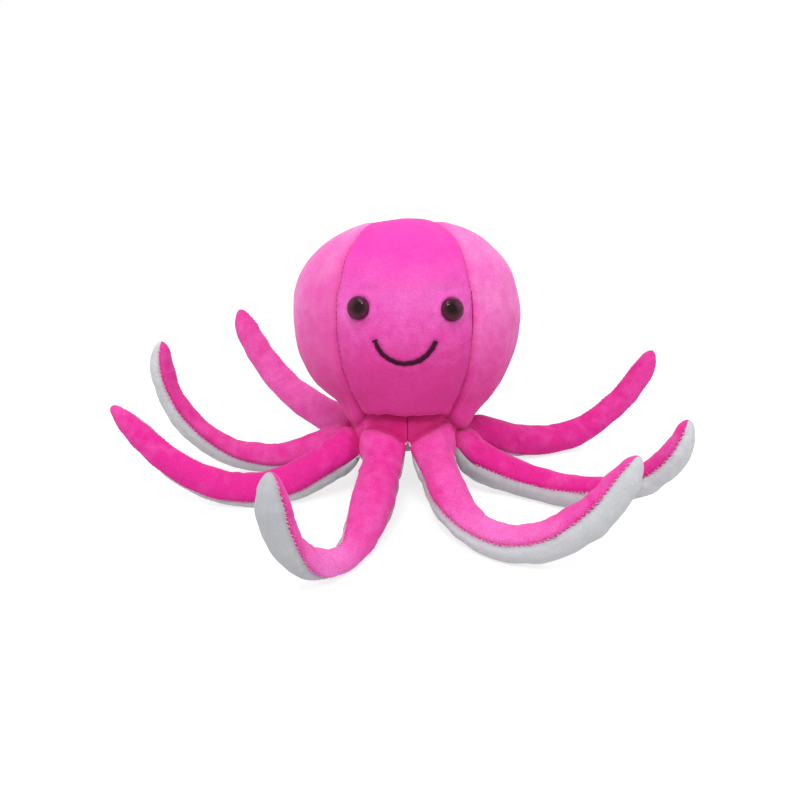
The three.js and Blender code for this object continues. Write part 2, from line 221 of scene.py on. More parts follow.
class Skin:
    """A piece of fabric worked out as rows and columns of points, right side out.

    Args:
        points: The outside, shaped rows by columns by 3, with columns to the right of rows seen from outside.
        hollow: How much painted shade darkens each point, from 0 to 1, in seams, creases and shadowed places.
        brushed: How much painted sheen lightens each point, below 0 where painted shade darkens it, or
            nothing.
    """

    def __init__(self, points: Array, hollow: Array, brushed: Array | None = None) -> None:
        """Keeps the points and what they carry."""
        self.points = points
        self.hollow = hollow
        self.brushed = np.zeros_like(hollow) if brushed is None else brushed

    def normals(self) -> Array:
        """The directions that stand outward from the skin at its points."""
        across = np.gradient(self.points, axis=1)
        along = np.gradient(self.points, axis=0)
        return unit(np.cross(across, along))

    def sunk(self, depth: Array) -> "Skin":
        """The same skin with each point moved inward by its depth."""
        return Skin(self.points - self.normals() * depth[..., None], self.hollow, self.brushed)

    def piece(self, name: str, thickness: float) -> Object:
        """Makes the skin a closed mesh with an inside and an edge all round.

        Args:
            name: The new object's name.
            thickness: The distance from the outside to the inside.

        Returns:
            The new object, with attributes named hollow and brushed for its painted shade and its painted
            sheen.
        """
        rows, columns = self.points.shape[:2]
        count = rows * columns
        inner = self.points - self.normals() * thickness
        ids = np.arange(count).reshape(rows, columns)
        corners = [ids[:-1, :-1], ids[:-1, 1:], ids[1:, 1:], ids[1:, :-1]]
        outside = np.stack(corners, -1).reshape(-1, 4)
        inside = outside[:, ::-1] + count
        border = np.concatenate([ids[0, :-1], ids[:-1, -1], ids[-1, :0:-1], ids[:0:-1, 0]])
        following = np.roll(border, -1)
        edge = np.stack([following, border, border + count, following + count], -1)
        places = np.concatenate([self.points.reshape(-1, 3), inner.reshape(-1, 3)])
        made = mesh_object(name, places, np.concatenate([outside, inside, edge]))
        for label, values in (("hollow", self.hollow), ("brushed", self.brushed)):
            layer = made.data.attributes.new(label, "FLOAT", "POINT")
            layer.data.foreach_set("value", np.tile(values.reshape(-1), 2).astype(np.float32))
        return made


def added(name: str, data: ID) -> Object:
    """Adds an object with a mesh, a lamp's light or a camera to the scene and returns it."""
    made = bpy.data.objects.new(name, data)
    bpy.context.scene.collection.objects.link(made)
    return made


def mesh_object(name: str, places: Array, faces: Iterable[Sequence[int]]) -> Object:
    """Adds a smooth-shaded mesh object at the origin.

    Args:
        name: The object's name.
        places: The vertices, one row each.
        faces: The vertex numbers of each face.

    Returns:
        The new object.
    """
    mesh = bpy.data.meshes.new(name)
    mesh.from_pydata(places.tolist(), [], [list(map(int, face)) for face in faces])
    mesh.validate()
    mesh.shade_smooth()
    return added(name, mesh)


def lathe(name: str, profile: Sequence[Sequence[float]], sides: int, place: Matrix) -> Object:
    """Turns a profile round the Z axis and stands the result somewhere.

    Args:
        name: The object's name.
        profile: Pairs of a radius and a height, from the bottom of the axis round to its top.
        sides: The number of facets round the axis.
        place: Where the turned shape stands.

    Returns:
        The new object.
    """
    turns = np.arange(sides) * math.tau / sides
    places = [(0.0, 0.0, profile[0][1])]
    for radius, height in profile[1:-1]:
        places += [(radius * math.cos(t), radius * math.sin(t), height) for t in turns]
    places.append((0.0, 0.0, profile[-1][1]))
    faces: list[list[int]] = []
    last = len(places) - 1
    for j in range(sides):
        k = (j + 1) % sides
        faces.append([0, 1 + k, 1 + j])
        for i in range(len(profile) - 3):
            low, high = 1 + i * sides, 1 + (i + 1) * sides
            faces.append([low + j, low + k, high + k, high + j])
        faces.append([last - sides + j, last - sides + k, last])
    made = mesh_object(name, np.array(places), faces)
    made.data.transform(place)
    return made


@dataclass
class Stuffing:
    """Fills closed skins by a cloth simulation, so that the fabric swells between its seams.

    Args:
        pressure: How hard the stuffing presses.
        slack: The share by which the fabric is longer than its shape, which crumples it.
        most: The farthest that a point may move.
        frames: How many steps it takes to settle.
        quality: How many smaller steps each of them has.
        mass: The weight of the fabric at a point.
        stiffness: How hard the fabric is to stretch and to press together.
        bending: How hard it is to bend.
    """

    pressure: float
    slack: float
    most: float
    frames: int = 20
    quality: int = 6
    mass: float = 0.15
    stiffness: float = 12.0
    bending: float = 0.6

    def moves(self, tubes: Sequence[Array], held: Sequence[Array]) -> list[Array]:
        """Fills some tubes, each a stack of closed rings.

        Args:
            tubes: The rings' points, shaped rings by sides by 3.
            held: For each point, how firmly a seam holds it, from 0 to 1.

        Returns:
            How far each point moves, shaped as the tubes are.
        """
        places, faces, weights, spans = [], [], [], []
        start = 0
        for tube, grip in zip(tubes, held):
            rings, sides = tube.shape[:2]
            ids = start + np.arange(rings * sides).reshape(rings, sides)
            around = np.roll(ids, -1, axis=1)
            walls = np.stack([ids[:-1], around[:-1], around[1:], ids[1:]], -1)
            faces += walls.reshape(-1, 4).tolist()
            faces += [ids[0, ::-1].tolist(), ids[-1].tolist()]
            places.append(tube.reshape(-1, 3))
            weights.append(grip.reshape(-1))
            spans.append((start, rings, sides))
            start += rings * sides
        rest = np.concatenate(places)
        cloth = mesh_object("stuffing_trial", rest, faces)
        self._settle(cloth, np.concatenate(weights))
        shape = cloth.evaluated_get(bpy.context.evaluated_depsgraph_get()).to_mesh()
        filled = np.empty(len(rest) * 3, np.float32)
        shape.vertices.foreach_get("co", filled)
        bpy.data.objects.remove(cloth)
        move = filled.reshape(-1, 3) - rest
        length = np.linalg.norm(move, axis=1, keepdims=True)
        move *= np.minimum(1.0, self.most / np.maximum(length, 1e-9))
        return [move[s : s + r * c].reshape(r, c, 3) for s, r, c in spans]

    def _settle(self, cloth: Object, weights: Array) -> None:
        """Runs the cloth simulation on a trial mesh.

        Args:
            cloth: The mesh's object.
            weights: How firmly a seam holds each point, from 0 to 1.
        """
        group = cloth.vertex_groups.new(name="seams")
        for index in np.nonzero(weights > 0.0)[0]:
            group.add([int(index)], float(weights[index]), "REPLACE")
        cloth.modifiers.new("stuffing", "CLOTH")
        settings = cloth.modifiers["stuffing"].settings
        settings.quality = self.quality
        settings.mass = self.mass
        settings.vertex_group_mass = "seams"
        settings.use_pressure = True
        settings.uniform_pressure_force = self.pressure
        settings.shrink_min = -self.slack
        settings.tension_stiffness = self.stiffness
        settings.compression_stiffness = self.stiffness
        settings.bending_stiffness = self.bending
        settings.effector_weights.gravity = 0.0
        cloth.modifiers["stuffing"].point_cache.frame_end = self.frames
        for step in range(1, self.frames + 1):
            bpy.context.scene.frame_set(step)


# Shader and geometry node trees


class Value:
    """A number socket that Python's arithmetic works on."""

    def __init__(self, tree: "Tree", socket: NodeSocket) -> None:
        """Wraps a socket of a tree."""
        self.tree = tree
        self.socket = socket

    def _with(self, operation: str, first: object, second: object) -> "Value":
        """Adds one Math node and returns its result."""
        math_node = self.tree.node("ShaderNodeMath", {"operation": operation}, {0: first, 1: second})
        return Value(self.tree, math_node.outputs[0])

    def __add__(self, other: "Value | float") -> "Value":
        """The sum."""
        return self._with("ADD", self, other)

    __radd__ = __add__

    def __sub__(self, other: "Value | float") -> "Value":
        """The difference."""
        return self._with("SUBTRACT", self, other)

    def __rsub__(self, other: float) -> "Value":
        """The difference from a number."""
        return self._with("SUBTRACT", other, self)

    def __mul__(self, other: "Value | float") -> "Value":
        """The product."""
        return self._with("MULTIPLY", self, other)

    __rmul__ = __mul__

    def held(self, low: float, high: float) -> "Value":
        """The value brought from between low and high to between 0 and 1, and held there."""
        node = self.tree.node(
            "ShaderNodeMapRange", {"clamp": True}, {"Value": self, "From Min": low, "From Max": high}
        )
        return Value(self.tree, node.outputs["Result"])


class Tree:
    """Adds nodes and links to one node tree."""

    def __init__(self, tree: NodeTree) -> None:
        """Takes the tree that it adds to."""
        self.tree = tree

    def node(self, kind: str, settings: dict[str, object], inputs: dict[int | str, object]) -> Node:
        """Adds a node.

        Args:
            kind: The node's type.
            settings: The properties that are set first, or a ramp's stops under the name stops.
            inputs: A value, a socket or a Value for each input, by its name or its number.

        Returns:
            The new node.
        """
        made = self.tree.nodes.new(kind)
        for key, setting in settings.items():
            if key == "stops":
                self._set_stops(made.color_ramp, setting)
            else:
                setattr(made, key, setting)
        self.feed(made, inputs)
        return made

    def feed(self, node: Node, inputs: dict[int | str, object]) -> None:
        """Gives a node's inputs, by name or number, their values, or links from a socket or a Value."""
        for key, value in inputs.items():
            socket = node.inputs[key]
            if isinstance(value, Value):
                value = value.socket
            if isinstance(value, NodeSocket):
                self.tree.links.new(value, socket)
            else:
                socket.default_value = value

    @staticmethod
    def _set_stops(ramp: ColorRamp, stops: Sequence[tuple[float, Sequence[float]]]) -> None:
        """Gives a ramp its stops, each a place and a colour."""
        while len(ramp.elements) < len(stops):
            ramp.elements.new(1.0)
        for element, (place, colour) in zip(ramp.elements, stops):
            element.position = place
            element.color = colour

    def mix(self, factor: object, first: object, second: object) -> NodeSocket:
        """Mixes two colours and returns the result's socket."""
        made = self.node("ShaderNodeMix", {"data_type": "RGBA"}, {0: factor, 6: first, 7: second})
        return made.outputs[2]

    def noise(self, size: float, detail: float, where: object) -> Value:
        """Noise whose patches are about the given size across."""
        inputs = {"Scale": 1.0 / size, "Detail": detail, "Roughness": 0.55, "Vector": where}
        return Value(self, self.node("ShaderNodeTexNoise", {}, inputs).outputs[0])

    def show(self, output: str, share: Value, first: Node, second: Node) -> None:
        """Mixes two shaders by the share of the second and links the mix to the tree's output node."""
        inputs = {0: share, 1: first.outputs[0], 2: second.outputs[0]}
        mixed = self.node("ShaderNodeMixShader", {}, inputs)
        self.feed(self.tree.nodes[output], {"Surface": mixed.outputs[0]})

    def place(self) -> NodeSocket:
        """The socket of each point's place in the part's frame."""
        return self.node("ShaderNodeTexCoord", {}, {}).outputs["Object"]

    def carried(self, name: str) -> Value:
        """A number that the mesh carries at its points."""
        return Value(self, self.node("ShaderNodeAttribute", {"attribute_name": name}, {}).outputs["Fac"])


def linear(colour: Sequence[int]) -> tuple[float, float, float, float]:
    """Turns a colour of 0 to 255 as seen on a screen into the linear one that shaders take."""
    parts = [c / 255.0 for c in colour]
    return (*[c / 12.92 if c <= 0.04045 else ((c + 0.055) / 1.055) ** 2.4 for c in parts], 1.0)


def grey(level: float) -> tuple[float, float, float, float]:
    """A linear grey, white at 1."""
    return (level, level, level, 1.0)


def new_material(name: str) -> tuple[Material, Tree, Node]:
    """Makes a node material.

    Args:
        name: The material's name.

    Returns:
        The material, its tree and its Principled shader.
    """
    material = bpy.data.materials.new(name)
    material.use_nodes = True
    shader = material.node_tree.nodes["Principled BSDF"]
    return material, Tree(material.node_tree), shader


@dataclass(frozen=True)
class Plush:
    """Short-pile fabric whose nap lies in patches, lighter where it stands up, with painted shade and painted
    sheen where the skins' attributes place them.

    Args:
        name: The material's name.
        colour: The colour of most of the pile.
        lit: The paler colour of nap that stands up in random patches, also used as painted sheen where a skin
            places it.
        pile_and_shade_colour: The colour between the hairs, and the painted shade in seams, creases and
            shadowed places.
        bloom: The strength of the pale bloom that the pile shows at a slant.
        bloom_colour: The bloom's colour.
        low_nap_and_shade_colour: The deeper colour towards the bottom, if it differs: partly the nap lying
            the other way, partly painted shade.
        crown_colour: The colour towards the top, if it differs.
    """

    name: str
    colour: tuple[int, int, int]
    lit: tuple[int, int, int]
    pile_and_shade_colour: tuple[int, int, int]
    bloom: float
    bloom_colour: tuple[int, int, int]
    low_nap_and_shade_colour: tuple[int, int, int] | None = None
    low_height: float = 38 * MM
    high_height: float = 92 * MM
    low_share: float = 0.85
    crown_colour: tuple[int, int, int] | None = None
    crown_start: float = 114 * MM
    crown_full: float = 134 * MM
    crown_share: float = 0.8
    edge_waver: float = 10 * MM
    patch_size: float = 24 * MM
    patch_share: float = 0.6
    brush_size: float = 6 * MM
    brush_share: float = 0.4
    painted_sheen_share: float = 0.8
    pile_size: float = 0.9 * MM
    pile_height: float = 0.35 * MM
    pile_shade: float = 0.3
    seam_shade: float = 0.85
    nap: float = 0.75
    rough_least: float = 0.82
    rough_more: float = 0.12

    def build(self) -> Material:
        """Builds the fabric's material."""
        material, tree, shader = new_material(self.name)
        where = tree.place()
        hollow, painted_sheen = tree.carried("hollow"), tree.carried("brushed")
        patches = tree.noise(self.patch_size, 2.0, where).held(0.35, 0.68)
        brushed = tree.noise(self.brush_size, 3.0, where).held(0.3, 0.72)
        pile = tree.noise(self.pile_size, 2.0, where)
        lying = (patches * self.patch_share + brushed * self.brush_share) * self.nap
        # The lit colour shows in random patches of nap, and as painted sheen where the skin's painted_sheen
        # attribute lifts it; below 0 that attribute darkens them, a painted shade.
        nap_and_sheen_share = (lying + painted_sheen * self.painted_sheen_share).held(0.0, 1.0)
        colour = tree.mix(nap_and_sheen_share, linear(self.colour), linear(self.lit))
        height = Value(tree, tree.node("ShaderNodeSeparateXYZ", {}, {0: where}).outputs["Z"])
        wavy = height + brushed * self.edge_waver
        # Deeper towards the bottom: partly the nap lying the other way, partly painted shade where less light
        # falls.
        if self.low_nap_and_shade_colour is not None:
            low = wavy.held(self.high_height, self.low_height)
            colour = tree.mix(low * self.low_share, colour, linear(self.low_nap_and_shade_colour))
        if self.crown_colour is not None:
            crown = wavy.held(self.crown_start, self.crown_full)
            colour = tree.mix(crown * self.crown_share, colour, linear(self.crown_colour))
        colour = tree.mix(pile.held(0.62, 0.36) * self.pile_shade, colour, linear(self.pile_and_shade_colour))
        # Painted shade: seams, creases and shadowed places are darkened by the skin's hollow attribute.
        colour = tree.mix(hollow.held(0.0, 1.0) * self.seam_shade, colour, linear(self.pile_and_shade_colour))
        relief = pile * self.pile_height + brushed * (self.pile_height * 0.8)
        bump = tree.node("ShaderNodeBump", {}, {"Strength": 0.7, "Distance": 1.0, "Height": relief})
        finish = {
            "Base Color": colour,
            "Roughness": self.rough_least + brushed * self.rough_more,
            "Normal": bump.outputs[0],
            "Sheen Weight": self.bloom,
            "Sheen Roughness": 0.38,
            "Sheen Tint": linear(self.bloom_colour),
            "Specular IOR Level": 0.12,
        }
        tree.feed(shader, finish)
        return material


@dataclass(frozen=True)
class Thread:
    """Twisted sewing thread."""

    name: str
    colour: tuple[int, int, int]
    shade: tuple[int, int, int]
    twist_size: float = 0.35 * MM

    def build(self) -> Material:
        """Builds the thread's material."""
        material, tree, shader = new_material(self.name)
        twist = tree.noise(self.twist_size, 1.0, tree.place()).held(0.35, 0.65)
        colour = tree.mix(twist, linear(self.shade), linear(self.colour))
        finish = {"Base Color": colour, "Roughness": 0.6 + twist * 0.15, "Specular IOR Level": 0.2}
        tree.feed(shader, finish)
        return material


@dataclass(frozen=True)
class Gloss:
    """Moulded plastic with a clear dome over a dark pupil and a brown iris.

    Args:
        name: The material's name.
        ground: The pupil's colour.
        rim: The colour of the iris round it.
        inner: How far from its middle on the dome the pupil ends.
        outer: How far from it the iris has its full colour.
    """

    name: str
    ground: tuple[int, int, int]
    rim: tuple[int, int, int]
    inner: float
    outer: float
    fleck_size: float = 1.2 * MM

    def build(self, centre: Vector) -> Material:
        """Builds the plastic's material.

        Args:
            centre: The pupil's middle on the dome.

        Returns:
            The material.
        """
        material, tree, shader = new_material(self.name)
        where = tree.place()
        away = tree.node("ShaderNodeVectorMath", {"operation": "DISTANCE"}, {0: where, 1: centre})
        out = Value(tree, away.outputs["Value"]).held(self.inner, self.outer)
        fleck = tree.noise(self.fleck_size, 2.0, where).held(0.4, 0.7)
        finish = {
            "Base Color": tree.mix(out * (0.7 + fleck * 0.3), linear(self.ground), linear(self.rim)),
            "Roughness": 0.05 + fleck * 0.04,
            "IOR": 1.46,
            "Specular IOR Level": 0.2,
        }
        tree.feed(shader, finish)
        return material


@dataclass(frozen=True)
class Moulded:
    """Plain moulded plastic of the washers behind the eyes."""

    name: str
    colour: tuple[int, int, int]
    grain_grey: float = 0.4
    grain_size: float = 0.8 * MM

    def build(self) -> Material:
        """Builds the plastic's material."""
        material, tree, shader = new_material(self.name)
        grain = tree.noise(self.grain_size, 3.0, tree.place())
        colour = tree.mix(grain.held(0.3, 0.7) * 0.2, linear(self.colour), grey(self.grain_grey))
        tree.feed(shader, {"Base Color": colour, "Roughness": 0.45 + grain * 0.1})
        return material


PINK_PLUSH = Plush(
    "pink_plush",
    (226, 44, 152),
    (250, 132, 216),
    (184, 14, 92),
    0.35,
    (255, 190, 232),
    nap=0.42,
)
FRONT_PLUSH = Plush(
    "front_plush",
    (230, 86, 184),
    (240, 126, 208),
    (190, 36, 120),
    0.2,
    (255, 190, 232),
    low_nap_and_shade_colour=(214, 58, 144),
    low_height=70 * MM,
    high_height=104 * MM,
    crown_colour=(244, 58, 182),
)
SIDE_PLUSH = Plush(
    "side_plush",
    (242, 104, 194),
    (250, 156, 218),
    (206, 58, 142),
    0.36,
    (255, 215, 240),
    low_nap_and_shade_colour=(222, 44, 146),
    low_height=44 * MM,
    high_height=100 * MM,
)
WHITE_PLUSH = Plush(
    "white_plush",
    (204, 206, 209),
    (220, 221, 224),
    (168, 169, 175),
    0.2,
    (255, 255, 255),
    pile_height=0.12 * MM,
)
SEAM_THREAD = Thread("seam_thread", (222, 58, 146), (186, 34, 114))
FLUFF_THREAD = Thread("fluff_thread", (255, 190, 228), (244, 124, 192))
MOUTH_THREAD = Thread("mouth_thread", (72, 2, 44), (26, 0, 18))
EYE_PLASTIC = Gloss("eye_plastic", (28, 2, 8), (88, 28, 56), 2.3 * MM, 5.6 * MM)
WASHER_PLASTIC = Moulded("washer_plastic", (216, 216, 216))


class GeometryTree(Tree):
    """A Geometry Nodes tree with named inputs for its sizes."""

    def __init__(self, name: str, inputs: Sequence[tuple[str, str, object]]) -> None:
        """Starts a tree.

        Args:
            name: The tree's name.
            inputs: A name, a kind and a starting value for each input.
        """
        group = bpy.data.node_groups.new(name, "GeometryNodeTree")
        super().__init__(group)
        face = group.interface
        face.new_socket("Geometry", in_out="INPUT", socket_type="NodeSocketGeometry")
        for label, kind, value in inputs:
            socket = face.new_socket(label, in_out="INPUT", socket_type=f"NodeSocket{kind}")
            if value is not None:
                socket.default_value = value
        face.new_socket("Geometry", in_out="OUTPUT", socket_type="NodeSocketGeometry")
        self.given = group.nodes.new("NodeGroupInput").outputs

    def named(self, name: str, kind: str) -> NodeSocket:
        """The socket of an attribute that the points carry."""
        inputs = {"Name": name}
        return self.node("GeometryNodeInputNamedAttribute", {"data_type": kind}, inputs).outputs[0]

    def random(self, low: object, high: object) -> Value:
        """A random number for each point, from low to high, by the tree's seed."""
        inputs = {2: low, 3: high, "Seed": self.given["Seed"]}
        return Value(self, self.node("FunctionNodeRandomValue", {"data_type": "FLOAT"}, inputs).outputs[1])

    def finish(self, points: object, shape: object, rotation: object, size: Sequence[object]) -> None:
        """Lays a shape at each point, realizes the instances, sets their material and ends the tree.

        Args:
            points: The socket of the points.
            shape: The socket of the shape.
            rotation: The socket of each instance's rotation.
            size: The instance's scale along its own X, Y and Z.
        """
        scale = self.node("ShaderNodeCombineXYZ", {}, dict(enumerate(size))).outputs[0]
        inputs = {"Points": points, "Instance": shape, "Rotation": rotation, "Scale": scale}
        laid = self.node("GeometryNodeInstanceOnPoints", {}, inputs)
        real = self.node("GeometryNodeRealizeInstances", {}, {0: laid.outputs[0]})
        inputs = {0: real.outputs[0], "Material": self.given["Material"]}
        dressed = self.node("GeometryNodeSetMaterial", {}, inputs)
        self.node("NodeGroupOutput", {}, {0: dressed.outputs[0]})

    def apply(self, carrier: Object, name: str, values: dict[str, object]) -> Object:
        """Runs the tree on an object and keeps the result as a plain mesh.

        Args:
            carrier: The object that the tree starts from, which is removed.
            name: The new object's name.
            values: A value for each named input.

        Returns:
            The new object.
        """
        modifier = carrier.modifiers.new("made", "NODES")
        modifier.node_group = self.tree
        sockets = self.tree.interface.items_tree
        ids = {item.name: item.identifier for item in sockets if item.in_out == "INPUT"}
        for label, value in values.items():
            modifier[ids[label]] = value
        carrier.update_tag()
        graph = bpy.context.evaluated_depsgraph_get()
        mesh = bpy.data.meshes.new_from_object(carrier.evaluated_get(graph))
        mesh.name = name
        carrier.modifiers.remove(modifier)
        bpy.data.objects.remove(carrier)
        return added(name, mesh)


def stitch_tree() -> GeometryTree:
    """Builds the tree that lays one stitch of thread at each point of a path.

    Returns:
        The tree. Its points carry attributes named along, out and reach: the stitch's way, the way off the
        fabric and its half length.
    """
    tree = GeometryTree(
        "stitches",
        [
            ("Thread Radius", "Float", 0.3 * MM),
            ("Jitter", "Float", 0.1),
            ("Seed", "Int", 1),
            ("Material", "Material", None),
        ],
    )
    given = tree.given
    along = tree.named("along", "FLOAT_VECTOR")
    out = tree.named("out", "FLOAT_VECTOR")
    reach = Value(tree, tree.named("reach", "FLOAT"))
    bead = tree.node("GeometryNodeMeshUVSphere", {}, {"Segments": 6, "Rings": 5, "Radius": 1.0})
    smooth = tree.node("GeometryNodeSetShadeSmooth", {}, {0: bead.outputs[0]})
    lie = tree.node("FunctionNodeAlignRotationToVector", {"axis": "X"}, {"Vector": along})
    face = tree.node(
        "FunctionNodeAlignRotationToVector",
        {"axis": "Z", "pivot_axis": "X"},
        {"Rotation": lie.outputs[0], "Vector": out},
    )
    jitter = Value(tree, given["Jitter"])
    long = reach * tree.random(1.0 - jitter, 1.0 + jitter)
    thick = given["Thread Radius"]
    tree.finish(given["Geometry"], smooth.outputs[0], face.outputs[0], (long, thick, thick))
    return tree


def fibre_tree() -> GeometryTree:
    """Builds the tree that grows loose fibres from a strip of fabric.

    Returns:
        The tree. Its fibres stand off the strip's faces, each with its own lean, turn and length.
    """
    tree = GeometryTree(
        "fibres",
        [
            ("Density", "Float", 1e6),
            ("Length", "Float", 2.0 * MM),
            ("Thickness", "Float", 0.09 * MM),
            ("Lean", "Float", 0.9),
            ("Seed", "Int", 1),
            ("Material", "Material", None),
        ],
    )
    given = tree.given
    spread = tree.node(
        "GeometryNodeDistributePointsOnFaces",
        {"distribute_method": "RANDOM"},
        {"Mesh": given["Geometry"], "Density": given["Density"], "Seed": given["Seed"]},
    )
    hair = tree.node(
        "GeometryNodeMeshCone",
        {"fill_type": "NONE"},
        {"Vertices": 3, "Side Segments": 1, "Radius Top": 0.0, "Radius Bottom": 1.0, "Depth": 1.0},
    )
    less = Value(tree, given["Lean"]) * -1.0
    low = tree.node("ShaderNodeCombineXYZ", {}, {0: less, 1: less, 2: 0.0})
    high = tree.node("ShaderNodeCombineXYZ", {}, {0: given["Lean"], 1: given["Lean"], 2: math.tau})
    lean = tree.node(
        "FunctionNodeRandomValue",
        {"data_type": "FLOAT_VECTOR"},
        {0: low.outputs[0], 1: high.outputs[0], "Seed": given["Seed"]},
    )
    turn = tree.node("FunctionNodeEulerToRotation", {}, {0: lean.outputs[0]})
    stand = tree.node(
        "FunctionNodeRotateRotation",
        {"rotation_space": "LOCAL"},
        {0: spread.outputs["Rotation"], 1: turn.outputs[0]},
    )
    long = Value(tree, given["Length"]) * tree.random(0.5, 1.25)
    thick = given["Thickness"]
    tree.finish(spread.outputs["Points"], hair.outputs[0], stand.outputs[0], (thick, thick, long))
    return tree


@dataclass
class StitchPath:
    """The places of the stitches along a path.

    Args:
        points: Where each stitch lies.
        along: Each stitch's way.
        out: The way off the fabric at each stitch.
        reach: Half of each stitch's length.
    """

    points: Array
    along: Array
    out: Array
    reach: Array

    @classmethod
    def beside(cls, skin: Skin, rows: slice, edge: int, pitch: float, half: float) -> "StitchPath":
        """The places of running stitches along one edge of a skin.

        Args:
            skin: The fabric.
            rows: The rows from the first stitch to the last.
            edge: The edge's column, 0 or -1.
            pitch: The distance from one stitch to the next.
            half: Half of each stitch's length.

        Returns:
            The path, whose stitches run along the edge.
        """
        line = skin.points[rows, edge]
        places = evenly(line, pitch)
        ways = unit(rows_at(np.gradient(line, axis=0), places))
        out = unit(rows_at(skin.normals()[rows, 1 if edge == 0 else -2], places))
        return cls(rows_at(line, places), ways, out, np.full(len(places), half))

    def carrier(self) -> Object:
        """The path as loose vertices with the attributes that the stitch tree reads."""
        made = mesh_object("stitch_path", self.points, [])
        for label, values in (("along", self.along), ("out", self.out)):
            layer = made.data.attributes.new(label, "FLOAT_VECTOR", "POINT")
            layer.data.foreach_set("vector", values.astype(np.float32).reshape(-1))
        layer = made.data.attributes.new("reach", "FLOAT", "POINT")
        layer.data.foreach_set("value", self.reach.astype(np.float32))
        return made

    @staticmethod
    def joined(paths: Sequence["StitchPath"]) -> "StitchPath":
        """Several paths as one."""
        parts = [[getattr(p, key) for p in paths] for key in ("points", "along", "out", "reach")]
        return StitchPath(*[np.concatenate(part) for part in parts])


def evenly(line: Array, pitch: float) -> Array:
    """Finds places at an even pitch along a line of points.

    Args:
        line: The line's points, one row each.
        pitch: The distance from one place to the next.

    Returns:
        The places as row numbers with fractions.
    """
    steps = np.linalg.norm(np.diff(line, axis=0), axis=1)
    run = np.concatenate([[0.0], np.cumsum(steps)])
    wanted = np.arange(pitch / 2.0, run[-1], pitch)
    return np.interp(wanted, run, np.arange(len(line)))


def rows_at(table: Array, places: Array) -> Array:
    """The values of a table at row numbers with fractions."""
    low = np.clip(places.astype(int), 0, len(table) - 2)
    part = (places - low)[:, None]
    return table[low] * (1.0 - part) + table[low + 1] * part


# Head


